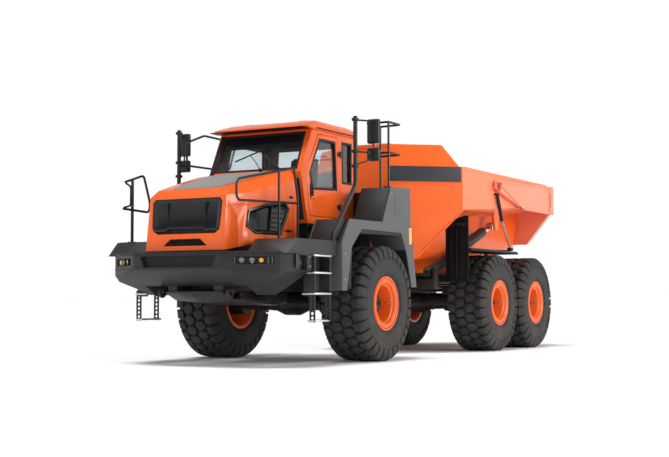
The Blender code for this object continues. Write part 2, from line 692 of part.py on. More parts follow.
def rear_frame(truck):
    """The long chassis: hitch nose, two rails, cross members, body pins and cylinder feet."""
    low, high = REAR_RAIL_Z
    nose = rod((0, PIVOT_Y, LUG_Z[0] + LUG_THICKNESS + 0.006), (0, PIVOT_Y, LUG_Z[1] - LUG_THICKNESS - 0.006),
               LUG_RADIUS - 0.02, ROUND)
    neck = box((-0.20, PIVOT_Y, low), (0.20, PIVOT_Y + 0.75, LUG_Z[1] - LUG_THICKNESS - 0.008))
    pieces = [nose, neck]
    head = PIVOT_Y + 0.52
    for side in (-1, 1):
        x0, x1 = span(side, *RAIL_X)
        pieces.append(box((x0, head, low), (x1, REAR_FRAME_END, high)))
        flare = prism([(side * 0.19, head - 0.16), (side * 0.19, head + 0.30), (side * RAIL_X[1], head + 0.30),
                       (side * RAIL_X[1], head + 0.0)], low, high - 0.04, "z")
        pieces.append(flare)
    for y in (2.90, 4.30, 5.85, 7.15):
        pieces.append(box((-RAIL_X[0] - 0.02, y - 0.10, low + 0.03), (RAIL_X[0] + 0.02, y + 0.10, high - 0.03)))
    base_y, base_z = TIP_RAM_BASE
    for side in (-1, 1):
        x0, x1 = span(side, RAIL_X[1] - 0.02, TIP_RAM_X + TIP_RAM_RADIUS + 0.05)
        pieces.append(box((x0, base_y - 0.08, low + 0.02), (x1, base_y + 0.08, base_z - TIP_RAM_RADIUS - 0.035)))
        pieces.append(rod((side * (TIP_RAM_X - 0.02), base_y, low + 0.10), (
            side * (TIP_RAM_X + TIP_RAM_RADIUS + 0.04), base_y, low + 0.10), 0.04, 8))
        x0, x1 = span(side, TIP_RAM_X + TIP_RAM_RADIUS + 0.006, TIP_RAM_X + TIP_RAM_RADIUS + 0.05)
        pieces.append(prism([(base_y - 0.09, low + 0.04), (base_y + 0.09, low + 0.04), (base_y + 0.07, base_z + 0.08),
                             (base_y - 0.07, base_z + 0.08)], x0, x1))
        pieces.append(rod((side * (TIP_RAM_X - 0.07), base_y, base_z), (
            side * (TIP_RAM_X + 0.12), base_y, base_z), 0.035, 12))
        pin_y, pin_z = TIP_PIVOT
        pieces.append(rod((side * (RAIL_X[0] + 0.02), pin_y, pin_z), (
            side * (TIP_LUG_X[1] + 0.03), pin_y, pin_z), TIP_PIN_RADIUS, 16))
        # Steering cylinder ear, outside the neck.
        ram_x, ram_y = STEER_RAM_PIN
        top = STEER_RAM_Z + STEER_RAM_RADIUS + 0.012
        x0, x1 = span(side, RAIL_X[0], ram_x + 0.10)
        pieces.append(box((x0, ram_y - 0.09, top), (x1, ram_y + 0.09, low + 0.02)))
    frame = fused(*pieces)
    king = rod((0, PIVOT_Y, LUG_Z[0]), (0, PIVOT_Y, LUG_Z[1]), KING_PIN_RADIUS + 0.004, ROUND)
    return node("rear_frame", cut(frame, king), "dark", truck, (0, PIVOT_Y, LUG_Z[0]))


def bogie_beams(truck):
    """Two walking beams above the axles, joined by a cross tube under the rails."""
    pivot = (0, PIVOT_Y, LUG_Z[0])
    centre = MID_AXLE_Y + BOGIE_SPREAD / 2
    rest = TYRE_RADIUS + AXLE_RADIUS + GAP
    half = BOGIE_SPREAD / 2
    outline = [(centre - half - 0.22, rest), (centre - half + 0.24, rest), (centre - 0.40, 0.90),
               (centre + 0.40, 0.90), (centre + half - 0.24, rest), (centre + half + 0.22, rest),
               (centre + half + 0.22, rest + 0.18), (centre - half - 0.22, rest + 0.18)]
    pieces = [rod((-0.66, centre, 1.02), (0.66, centre, 1.02), 0.11, 16)]
    for side in (-1, 1):
        pieces.append(prism(outline, *span(side, *BOGIE_BEAM_X)))
    return node("bogie_beams", fused(*pieces), "dark", truck, pivot)


def rear_axle(truck, y, name):
    seat = (BOGIE_BEAM_X[0] - 0.02, BOGIE_BEAM_X[1] + 0.02)
    return node(name, axle_housing(y, 0.12, seat), "dark", truck, (0, PIVOT_Y, LUG_Z[0]))


def mudguard(truck, side, name):
    """Flap ahead of the middle wheel and the flat guard over it, on a bracket from the frame."""
    x0, x1 = span(side, 1.22, 1.72)
    guard = box((x0, 3.52, 1.905), (x1, 5.95, 1.93))
    ledge = [(side * 1.22, 1.34), (side * 1.68, 1.34), (side * 1.68, 2.56), (side * 1.60, 2.56), (side * 1.22, 2.44)]
    flap = prism(ledge, 3.50, 3.53, "y")
    a0, a1 = span(side, RAIL_X[1] + GAP, 1.24)
    arm = box((a0, 3.50, 1.36), (a1, 3.56, 1.44))
    return node(name, fused(guard, flap, arm), "trim", truck, (0, PIVOT_Y, LUG_Z[0]))


def body_sections(inset, lift, front, rear, top):
    """Rings across the load body, from front to rear, its floor rising towards the tail."""
    rings = []
    slope = (KEEL_Z[1] - KEEL_Z[0]) / (BODY_REAR - BODY_FRONT)
    for y in (front, rear):
        keel = KEEL_Z[0] + slope * (y - BODY_FRONT)
        right = [
            (BODY_KEEL_HALF - inset, y, keel + lift),
            (BODY_WAIST_HALF - inset, y, keel + WAIST_RISE + lift),
            (BODY_HALF - inset, y, keel + KNUCKLE_RISE + lift),
            (BODY_HALF - inset, y, top),
        ]
        rings.append(right + mirrored(reversed(right), -1))
    return loft(rings)


def bow_cutters(inset):
    """What is cut off the front so that its corners are angled back, seen from above."""
    run = Vector((BODY_HALF - BODY_NOSE_HALF, BODY_FOLD_Y - BODY_FRONT)).normalized()
    off = Vector((-run.y, run.x)) * inset
    cutters = []
    for side in (-1, 1):
        start = Vector((BODY_NOSE_HALF, BODY_FRONT)) + off - run * 3.0
        end = Vector((BODY_NOSE_HALF, BODY_FRONT)) + off + run * 4.0
        ring = [(side * start.x, start.y), (side * end.x, end.y), (side * 5.0, end.y), (side * 5.0, start.y - 1.0),
                (side * start.x, start.y - 1.0)]
        cutters.append(prism(ring, 0.5, 5.0, "z"))
    return cutters


def bow_gusset(side):
    """The lower triangle of the angled front plate."""
    run = Vector((BODY_HALF - BODY_NOSE_HALF, BODY_FOLD_Y - BODY_FRONT)).normalized()
    back = Vector((-run.y, run.x)) * BODY_WALL
    at = lambda x: Vector((x, BODY_FRONT + (x - BODY_NOSE_HALF) * run.y / run.x))
    inner, outer = at(BODY_WAIST_HALF - 0.06), at(BODY_HALF - 0.005)
    points = [(inner, 1.76), (outer, 2.62), (outer, 2.70), (inner, 2.60)]
    rings = []
    for shift in (Vector((0, 0)), back):
        rings.append([(side * (p.x + shift.x), p.y + shift.y + 0.0005, z) for p, z in points])
    return loft(rings)


def dump_body(truck):
    """Load body: angled front, raised headboard, stepped sides, open tail, keel beams and hinge lugs."""
    pin_y, pin_z = TIP_PIVOT
    outer = cut(body_sections(0.0, 0.0, BODY_FRONT, BODY_REAR, HEADBOARD_TOP), *bow_cutters(0.0))
    inner = cut(body_sections(BODY_WALL, BODY_WALL, BODY_FRONT + BODY_WALL, BODY_REAR + 0.4, HEADBOARD_TOP + 0.3),
                *bow_cutters(BODY_WALL))
    ramp_low, ramp_high = HEADBOARD_RAMP
    top = prism([(ramp_low, HEADBOARD_TOP + 0.2), (ramp_low, HEADBOARD_TOP), (ramp_high, BODY_RAIL),
                 (BODY_REAR + 0.5, BODY_RAIL), (BODY_REAR + 0.5, HEADBOARD_TOP + 0.2)], -2, 2)
    shell = cut(outer, inner, top)
    extras = []
    for side in (-1, 1):
        extras.append(bow_gusset(side))
        x0, x1 = span(side, *RAIL_X)
        extras.append(prism([(3.05, REAR_RAIL_Z[1] + 0.006), (6.95, REAR_RAIL_Z[1] + 0.006), (7.02, 2.08),
                             (3.05, 1.77)], x0, x1))
        x0, x1 = span(side, *TIP_LUG_X)
        extras.append(prism([(pin_y - 0.12, pin_z), (pin_y + 0.12, pin_z), (pin_y + 0.24, 2.09),
                             (pin_y - 0.30, 2.07)], x0, x1))
        extras.append(rod((x0, pin_y, pin_z), (x1, pin_y, pin_z), 0.12, 16))
        ram_y, ram_z = TIP_RAM_PIN
        ear0, ear1 = span(side, TIP_RAM_X + TIP_RAM_RADIUS + 0.006, TIP_RAM_X + TIP_RAM_RADIUS + 0.05)
        extras.append(prism([(ram_y - 0.08, ram_z - 0.09), (ram_y + 0.08, ram_z - 0.09), (ram_y + 0.16, 2.79),
                             (ram_y - 0.16, 2.79)], ear0, ear1))
    shell = fused(shell, *extras)
    bores = [rod((side * 0.52, pin_y, pin_z), (side * 0.72, pin_y, pin_z), TIP_PIN_RADIUS + 0.002, 16)
             for side in (-1, 1)]
    return node("dump_body", cut(shell, *bores), "orange", truck, (0, pin_y, pin_z))


def tailgate(truck):
    """Rear plate carried by two long side arms."""
    pivot_y, pivot_z = GATE_PIVOT
    front = REAR_REACH - GATE_PLATE
    plate_line = [(1.10, 2.20), (1.625, 2.84), (GATE_ARM_X[1], 2.84), (GATE_ARM_X[1], 3.44)]
    plate = prism(plate_line + [(-x, z) for x, z in reversed(plate_line)], front, REAR_REACH, "y")
    pieces = [plate]
    for side in (-1, 1):
        arm = [(pivot_y - 0.10, pivot_z - 0.06), (pivot_y - 0.06, pivot_z + 0.09), (front + 0.02, 3.44),
               (front + 0.02, 2.84), (6.45, 2.84), (6.15, 2.90), (pivot_y + 0.08, pivot_z - 0.12)]
        pieces.append(prism(arm, *span(side, *GATE_ARM_X)))
    return node("tailgate", fused(*pieces), "orange", truck, (0, pivot_y, pivot_z))


# ---------------------------------------------------------------- cylinders and wheels


def ram(truck, base, pin, barrel_radius, rod_radius, barrel_share, names, eye_axis, retract=0.0):
    """A hydraulic cylinder: an open-ended barrel on its base pin and a rod that can still retract this far."""
    base, pin = Vector(base), Vector(pin)
    way = (pin - base).normalized()
    length = (pin - base).length
    mouth = base + way * (length * barrel_share)
    eye = Vector(eye_axis)
    barrel_eye = rod(base - eye * barrel_radius * 0.75, base + eye * barrel_radius * 0.75, barrel_radius, 16)
    barrel = fused(rod(base + way * barrel_radius * 0.6, mouth, barrel_radius, 16), barrel_eye)
    bore = rod(base + way * (barrel_radius * 1.6), mouth + way * 0.1, rod_radius + 0.004, 16)
    pin_hole = rod(base - eye, base + eye, 0.035 + 0.002 if barrel_radius > 0.08 else 0.02, 12)
    node(names[0], cut(barrel, bore, pin_hole), "dark", truck, base)
    start = base + way * (barrel_radius * 1.6 + 0.01 + retract)
    shaft = rod(start, pin - way * rod_radius * 0.5, rod_radius, 16)
    head = rod(pin - eye * barrel_radius * 0.6, pin + eye * barrel_radius * 0.6, barrel_radius * 0.8, 16)
    node(names[1], fused(shaft, head), "steel", truck, pin)


def rams(truck):
    for side, word in ((1, "left"), (-1, "right")):
        base = (side * TIP_RAM_X, *TIP_RAM_BASE)
        pin = (side * TIP_RAM_X, *TIP_RAM_PIN)
        ram(truck, base, pin, TIP_RAM_RADIUS, TIP_ROD_RADIUS, 0.86,
            (f"tip_barrel_{word}", f"tip_rod_{word}"), (1, 0, 0))
        base = (side * STEER_RAM_BASE[0], STEER_RAM_BASE[1], STEER_RAM_Z)
        pin = (side * STEER_RAM_PIN[0], STEER_RAM_PIN[1], STEER_RAM_Z)
        ram(truck, base, pin, STEER_RAM_RADIUS, STEER_ROD_RADIUS, 0.68,
            (f"steer_barrel_{word}", f"steer_rod_{word}"), (0, 0, 1), STEER_STROKE)


def wheel(truck, side, y, place):
    """A rim with its recessed disc, and a tyre on it."""
    centre = (side * HALF_TRACK, y, TYRE_RADIUS)
    half = TYRE_WIDTH / 2
    lip = RIM_RADIUS + RIM_LIP
    bead = RIM_EDGE - GAP
    wall = [(bead, RIM_RADIUS + GAP), (bead, lip + 0.01), (half, RIM_RADIUS + 0.19), (half * 0.97, TYRE_RADIUS - 0.08),
            (half * 0.72, TYRE_RADIUS)]
    made = turned(wall + [(-a, r) for a, r in reversed(wall)], centre, loop=True)
    node(f"tyre_{place}", made, "rubber", truck, centre)
    flange = RIM_EDGE + 0.02
    rim = [(-flange, lip), (-RIM_EDGE, lip), (-RIM_EDGE, RIM_RADIUS), (RIM_EDGE, RIM_RADIUS), (RIM_EDGE, lip),
           (flange, lip), (RIM_EDGE - 0.02, RIM_RADIUS - 0.11), (0.08, 0.25), (0.08, 0.0), (-DISC_BACK, 0.0),
           (-DISC_BACK, 0.30), (-flange, RIM_RADIUS - 0.06)]
    shaped = turned([(side * a, r) for a, r in rim], centre, loop=True)
    return node(f"rim_{place}", shaped, "orange", truck, centre)


def wheels(truck):
    rows = (("front", 0.0), ("mid", MID_AXLE_Y), ("rear", MID_AXLE_Y + BOGIE_SPREAD))
    for row, y in rows:
        for side, word in ((1, "left"), (-1, "right")):
            wheel(truck, side, y, f"{row}_{word}")


def main():
    clear_scene()
    truck = bpy.data.objects.new("truck_origin", None)
    bpy.context.scene.collection.objects.link(truck)
    truck.location = (0, (FRONT_REACH - REAR_REACH) / 2, 0)
    front_frame(truck)
    front_axle(truck)
    front_bumper(truck)
    engine_block(truck)
    hood(truck)
    grille(truck)
    cab_base(truck)
    service_tower(truck)
    cab_shell(truck)
    cab_roof(truck)
    cab_door(truck)
    cab_glass(truck)
    cab_interior(truck)
    for side, word in ((1, "left"), (-1, "right")):
        fender(truck, side, f"fender_{word}")
        ladder(truck, side, f"ladder_{word}")
        mirror_post(truck, side, f"mirror_post_{word}")
        mudguard(truck, side, f"mudguard_{word}")
    front_rails(truck)
    rear_rails(truck)
    rear_frame(truck)
    bogie_beams(truck)
    rear_axle(truck, MID_AXLE_Y, "mid_axle")
    rear_axle(truck, MID_AXLE_Y + BOGIE_SPREAD, "rear_axle")
    dump_body(truck)
    tailgate(truck)
    rams(truck)
    wheels(truck)


main()
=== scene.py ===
"""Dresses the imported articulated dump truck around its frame.

It models the treaded tyres, the dished rims, the lamps, grilles, rails, steps and mirrors, and gives every
surface its paint, rubber, steel or glass. All sizes are in metres. Places are measured from the middle of the
front axle, on the ground: +X is the truck's left, +Y runs back to the tail and +Z is up. Bench.settle moves a
finished piece from there into the frame's own place.
"""

from __future__ import annotations

import json
import logging
import math
from collections.abc import Callable, Iterable, Iterator, Sequence
from contextlib import contextmanager
from dataclasses import dataclass, field
from enum import Enum
from typing import Any

import bmesh
import bpy
from mathutils import Matrix, Vector

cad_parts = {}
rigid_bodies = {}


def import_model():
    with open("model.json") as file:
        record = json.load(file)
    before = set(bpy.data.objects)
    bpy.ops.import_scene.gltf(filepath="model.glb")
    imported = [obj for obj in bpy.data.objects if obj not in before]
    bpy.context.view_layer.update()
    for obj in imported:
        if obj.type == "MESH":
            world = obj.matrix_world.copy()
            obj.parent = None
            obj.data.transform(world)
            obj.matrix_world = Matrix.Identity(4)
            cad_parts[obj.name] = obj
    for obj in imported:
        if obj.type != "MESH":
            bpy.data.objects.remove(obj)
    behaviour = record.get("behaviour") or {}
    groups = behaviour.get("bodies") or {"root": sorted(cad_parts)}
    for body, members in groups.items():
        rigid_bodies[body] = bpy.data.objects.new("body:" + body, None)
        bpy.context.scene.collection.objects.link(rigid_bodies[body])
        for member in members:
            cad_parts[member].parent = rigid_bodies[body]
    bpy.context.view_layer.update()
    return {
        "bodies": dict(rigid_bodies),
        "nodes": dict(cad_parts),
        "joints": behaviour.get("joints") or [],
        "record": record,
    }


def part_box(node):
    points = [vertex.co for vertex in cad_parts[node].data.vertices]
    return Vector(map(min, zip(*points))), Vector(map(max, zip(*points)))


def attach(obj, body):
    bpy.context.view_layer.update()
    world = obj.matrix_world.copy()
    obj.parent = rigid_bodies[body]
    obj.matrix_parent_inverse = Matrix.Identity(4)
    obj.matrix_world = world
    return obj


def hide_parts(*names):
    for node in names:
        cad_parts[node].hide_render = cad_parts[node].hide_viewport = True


LOG = logging.getLogger("dump_truck")
SIDES: tuple[tuple[int, str], ...] = ((1, "left"), (-1, "right"))
FRONT = "front_unit"
MERGE = 1e-5
ARC_STEPS = 5
Point = Sequence[float]
Pair = tuple[float, float]
Outline = Sequence[Pair]
Item = bpy.types.Object


class Axis(Enum):
    """The direction an outline is pushed or turned along; its value orders the outline's two numbers."""

    X = (0, 1, 2)
    Y = (1, 0, 2)
    Z = (2, 0, 1)

    def place(self, along: float, first: float, second: float) -> Vector:
        """The point that lies this far along the axis, at the outline's two numbers."""
        point = [0.0, 0.0, 0.0]
        for spot, value in zip(self.value, (along, first, second)):
            point[spot] = value
        return Vector(point)

    def way(self) -> Vector:
        """The unit vector of the axis."""
        return self.place(1.0, 0.0, 0.0)


class Slot(Enum):
    """The record's material slots."""

    BODY = "body_paint"
    PLASTIC = "fender_plastic"
    CHASSIS = "chassis_paint"
    TRIM = "dark_trim"
    TYRE = "tyre_rubber"
    ROD = "cylinder_rod"
    WINDOW = "window"


# ------------------------------------------------------------------ finishes


def new_group(name: str, inputs: dict[str, float], outputs: dict[str, str]) -> Any:
    """Starts a shader node group.

    Args:
        name: the group's name.
        inputs: each float input with its default.
        outputs: each output with its socket type.

    Returns:
        The group's node tree, with its own input and output nodes.
    """
    tree = bpy.data.node_groups.new(name, "ShaderNodeTree")
    for label, value in inputs.items():
        socket = tree.interface.new_socket(name=label, in_out="INPUT", socket_type="NodeSocketFloat")
        socket.default_value = value
    for label, kind in outputs.items():
        tree.interface.new_socket(name=label, in_out="OUTPUT", socket_type=kind)
    tree.nodes.new("NodeGroupInput")
    tree.nodes.new("NodeGroupOutput")
    return tree


def maths(tree: Any, operation: str, first: Any, second: Any = None, clamp: bool = False) -> Any:
    """Adds a Math node.

    Args:
        tree: the node tree.
        operation: the node's operation.
        first: a socket or a number.
        second: a socket or a number, where the operation takes two.
        clamp: whether the result stays from 0 to 1.

    Returns:
        The node's output socket.
    """
    node = tree.nodes.new("ShaderNodeMath")
    node.operation = operation
    node.use_clamp = clamp
    for spot, value in enumerate((first, second)):
        if value is None:
            continue
        if isinstance(value, (int, float)):
            node.inputs[spot].default_value = value
        else:
            tree.links.new(value, node.inputs[spot])
    return node.outputs[0]


def noise(tree: Any, vector: Any, scale: Any, detail: float = 3.0, rough: float = 0.55) -> Any:
    """Adds a Noise Texture on this vector and returns its Fac socket."""
    node = tree.nodes.new("ShaderNodeTexNoise")
    node.inputs["Detail"].default_value = detail
    node.inputs["Roughness"].default_value = rough
    tree.links.new(vector, node.inputs["Vector"])
    if isinstance(scale, (int, float)):
        node.inputs["Scale"].default_value = scale
    else:
        tree.links.new(scale, node.inputs["Scale"])
    return node.outputs["Fac"]


def object_place(tree: Any) -> Any:
    """The Object coordinate socket of this tree, made once."""
    for node in tree.nodes:
        if node.bl_idname == "ShaderNodeTexCoord":
            return node.outputs["Object"]
    return tree.nodes.new("ShaderNodeTexCoord").outputs["Object"]


def grain_group() -> Any:
    """Fine grain and broad tone, the unevenness of a moulded, cast or sprayed surface."""
    tree = new_group("surface_grain", {"Scale": 300.0, "Broad": 1.6}, {
        "Height": "NodeSocketFloat", "Tone": "NodeSocketFloat", "Streak": "NodeSocketFloat"})
    given, out = tree.nodes["Group Input"], tree.nodes["Group Output"]
    place = object_place(tree)
    fine = noise(tree, place, given.outputs["Scale"], 2.0)
    broad = noise(tree, place, given.outputs["Broad"], 5.0, 0.62)
    stretch = tree.nodes.new("ShaderNodeMapping")
    stretch.inputs["Scale"].default_value = (9.0, 9.0, 1.1)
    tree.links.new(place, stretch.inputs["Vector"])
    streak = noise(tree, stretch.outputs["Vector"], 1.0, 4.0, 0.6)
    tree.links.new(fine, out.inputs["Height"])
    tree.links.new(broad, out.inputs["Tone"])
    tree.links.new(maths(tree, "MULTIPLY", maths(tree, "SUBTRACT", streak, 0.52), 5.0, True), out.inputs["Streak"])
    return tree


def dust_group() -> Any:
    """Where dry dust lies: low down, on faces that look up, and in broken patches."""
    tree = new_group("road_dust", {"Low": 0.3, "High": 1.9, "Amount": 0.4}, {"Mask": "NodeSocketFloat"})
    given, out = tree.nodes["Group Input"], tree.nodes["Group Output"]
    place = object_place(tree)
    split = tree.nodes.new("ShaderNodeSeparateXYZ")
    tree.links.new(place, split.inputs[0])
    height = tree.nodes.new("ShaderNodeMapRange")
    height.inputs["To Min"].default_value = 1.0
    height.inputs["To Max"].default_value = 0.12
    tree.links.new(split.outputs["Z"], height.inputs["Value"])
    tree.links.new(given.outputs["Low"], height.inputs["From Min"])
    tree.links.new(given.outputs["High"], height.inputs["From Max"])
    shape = tree.nodes.new("ShaderNodeNewGeometry")
    facing = tree.nodes.new("ShaderNodeSeparateXYZ")
    tree.links.new(shape.outputs["Normal"], facing.inputs[0])
    upward = maths(tree, "MULTIPLY", maths(tree, "MAXIMUM", facing.outputs["Z"], 0.0), 0.6)
    patches = maths(tree, "MULTIPLY", maths(tree, "SUBTRACT", noise(tree, place, 3.2, 6.0, 0.65), 0.36), 3.0, True)
    lying = maths(tree, "MULTIPLY", maths(tree, "ADD", height.outputs[0], upward), patches)
    tree.links.new(maths(tree, "MULTIPLY", lying, given.outputs["Amount"], True), out.inputs["Mask"])
    return tree


def edge_group() -> Any:
    """Where edges are rubbed: the difference between the rounded and the true normal, broken up by noise."""
    tree = new_group("edge_wear", {"Strength": 0.5}, {"Mask": "NodeSocketFloat"})
    given, out = tree.nodes["Group Input"], tree.nodes["Group Output"]
    rounded = tree.nodes.new("ShaderNodeBevel")
    rounded.samples = 4
    rounded.inputs["Radius"].default_value = 0.012
    shape = tree.nodes.new("ShaderNodeNewGeometry")
    dot = tree.nodes.new("ShaderNodeVectorMath")
    dot.operation = "DOT_PRODUCT"
    tree.links.new(rounded.outputs[0], dot.inputs[0])
    tree.links.new(shape.outputs["Normal"], dot.inputs[1])
    sharp = maths(tree, "MULTIPLY", maths(tree, "SUBTRACT", 0.985, dot.outputs["Value"]), 9.0, True)
    patches = noise(tree, object_place(tree), 22.0, 5.0)
    broken = maths(tree, "MULTIPLY", maths(tree, "SUBTRACT", patches, 0.42), 5.0, True)
    worn = maths(tree, "MULTIPLY", sharp, broken)
    tree.links.new(maths(tree, "MULTIPLY", worn, given.outputs["Strength"], True), out.inputs["Mask"])
    return tree


class Effects:
    """The shader node groups that the finishes share, each built once."""

    def __init__(self) -> None:
        """Builds the groups."""
        self.grain = grain_group()
        self.dust = dust_group()
        self.edge = edge_group()

    def put(self, tree: Any, group: Any, **values: float) -> Any:
        """Places a group in a material's tree and sets its inputs by name."""
        node = tree.nodes.new("ShaderNodeGroup")
        node.node_tree = group
        for label, value in values.items():
            node.inputs[label].default_value = value
        return node


Colour = tuple[float, float, float]
DUST: Colour = (0.33, 0.27, 0.20)


def blended(tree: Any, factor: Any, first: Any, second: Any) -> Any:
    """Adds a colour Mix node; first and second are sockets or colours, and its result socket is returned."""
    node = tree.nodes.new("ShaderNodeMix")
    node.data_type = "RGBA"
    tree.links.new(factor, node.inputs["Factor"])
    for label, value in (("A", first), ("B", second)):
        socket = next(s for s in node.inputs if s.name == label and s.type == "RGBA")
        if isinstance(value, tuple):
            socket.default_value = (*value, 1.0)
        else:
            tree.links.new(value, socket)
    return next(s for s in node.outputs if s.type == "RGBA")


@dataclass(frozen=True)
class Finish:
    """A painted, moulded or metal surface, with its grain, its worn edges and its dust."""

    name: str
    colour: Colour
    rough: float = 0.5
    metal: float = 0.0
    coat: float = 0.0
    grain: float = 300.0
    depth: float = 0.02
    tone: float = 0.10
    dust: float = 0.25
    worn: float = 0.0
    shine: float = 0.3
    bare: Colour = (0.20, 0.19, 0.18)

    def colour_socket(self, tree: Any, grain: Any) -> Any:
        """The surface's own colour before wear and dust, lighter and darker by the broad tone."""
        dark = tuple(c * (1.0 - self.tone) for c in self.colour)
        light = tuple(min(1.0, c * (1.0 + self.tone)) for c in self.colour)
        return blended(tree, grain.outputs["Tone"], dark, light)

    def build(self, effects: Effects) -> bpy.types.Material:
        """Makes the material.

        Args:
            effects: the shared node groups.

        Returns:
            The finished material.
        """
        made = bpy.data.materials.new(self.name)
        made.use_nodes = True
        tree = made.node_tree
        shader = tree.nodes["Principled BSDF"]
        shader.inputs["Metallic"].default_value = self.metal
        shader.inputs["Coat Weight"].default_value = self.coat
        shader.inputs["Coat Roughness"].default_value = 0.12
        shader.inputs["Specular IOR Level"].default_value = self.shine
        grain = effects.put(tree, effects.grain, Scale=self.grain)
        colour = self.colour_socket(tree, grain)
        rough = maths(tree, "ADD", maths(tree, "MULTIPLY", grain.outputs["Tone"], 0.16), self.rough - 0.08)
        if self.worn:
            edge = effects.put(tree, effects.edge, Strength=self.worn)
            colour = blended(tree, edge.outputs["Mask"], colour, self.bare)
        if self.dust:
            dust = effects.put(tree, effects.dust, Amount=self.dust)
            colour = blended(tree, dust.outputs["Mask"], colour, DUST)
            rough = maths(tree, "ADD", rough, maths(tree, "MULTIPLY", dust.outputs["Mask"], 0.35), True)
        tree.links.new(colour, shader.inputs["Base Color"])
        tree.links.new(rough, shader.inputs["Roughness"])
        bump = tree.nodes.new("ShaderNodeBump")
        bump.inputs["Strength"].default_value = 0.35
        bump.inputs["Distance"].default_value = self.depth * 0.01
        tree.links.new(grain.outputs["Height"], bump.inputs["Height"])
        tree.links.new(bump.outputs["Normal"], shader.inputs["Normal"])
        return made


@dataclass(frozen=True)
class BodyPaint(Finish):
    """The load body's paint: the upper flanks behind the fold get a paler, pinker colour, a painted highlight of the
    strong light on that side.
    """

    flank_highlight: Colour = (0.90, 0.20, 0.09)
    flank_highlight_x: float = 1.57
    flank_highlight_y: float = 1.0

    def colour_socket(self, tree: Any, grain: Any) -> Any:
        """The paint, with the painted highlight on the flank masked by how far out and how far back the surface is."""
        plain = Finish.colour_socket(self, tree, grain)
        split = tree.nodes.new("ShaderNodeSeparateXYZ")
        tree.links.new(object_place(tree), split.inputs[0])
        out = maths(tree, "GREATER_THAN", maths(tree, "ABSOLUTE", split.outputs["X"]), self.flank_highlight_x)
        back = maths(tree, "GREATER_THAN", split.outputs["Y"], self.flank_highlight_y)
        return blended(tree, maths(tree, "MULTIPLY", out, back), plain, self.flank_highlight)


@dataclass(frozen=True)
class CabPaint(Finish):
    """The cab's paint, with a dark lining on every face inside the cab."""

    lining: Colour = (0.030, 0.030, 0.034)
    half: float = 0.824
    height: Pair = (2.26, 3.735)
    depth_y: Pair = (-5.047, -2.005)
    rake: float = 0.4857

    def inside(self, tree: Any, value: Any, low: float, high: float) -> Any:
        """1 where the value lies between the two bounds, else 0."""
        above = maths(tree, "GREATER_THAN", value, low)
        return maths(tree, "MULTIPLY", above, maths(tree, "LESS_THAN", value, high))

    def colour_socket(self, tree: Any, grain: Any) -> Any:
        """The paint, or the lining where the point lies inside the walls."""
        plain = Finish.colour_socket(self, tree, grain)
        split = tree.nodes.new("ShaderNodeSeparateXYZ")
        tree.links.new(object_place(tree), split.inputs[0])
        across = maths(tree, "LESS_THAN", maths(tree, "ABSOLUTE", split.outputs["X"]), self.half)
        up = self.inside(tree, split.outputs["Z"], *self.height)
        leaned = maths(tree, "SUBTRACT", split.outputs["Y"], maths(tree, "MULTIPLY", split.outputs["Z"], self.rake))
        ahead = maths(tree, "GREATER_THAN", leaned, self.depth_y[0])
        behind = maths(tree, "LESS_THAN", split.outputs["Y"], self.depth_y[1])
        mask = maths(tree, "MULTIPLY", maths(tree, "MULTIPLY", across, up), maths(tree, "MULTIPLY", ahead, behind))
        return blended(tree, mask, plain, self.lining)


@dataclass(frozen=True)
class Clear:
    """Window or lamp glass."""

    name: str
    colour: Colour
    rough: float = 0.02

    def build(self, effects: Effects) -> bpy.types.Material:
        """Makes the glass, with faint smears in its roughness."""
        made = bpy.data.materials.new(self.name)
        made.use_nodes = True
        tree = made.node_tree
        shader = tree.nodes["Principled BSDF"]
        shader.inputs["Base Color"].default_value = (*self.colour, 1.0)
        shader.inputs["Transmission Weight"].default_value = 1.0
        shader.inputs["IOR"].default_value = 1.45
        grain = effects.put(tree, effects.grain, Scale=8.0)
        rough = maths(tree, "MULTIPLY", grain.outputs["Streak"], 0.06)
        tree.links.new(maths(tree, "ADD", rough, self.rough), shader.inputs["Roughness"])
        return made


TRUCK_ORANGE: Colour = (0.83, 0.115, 0.008)


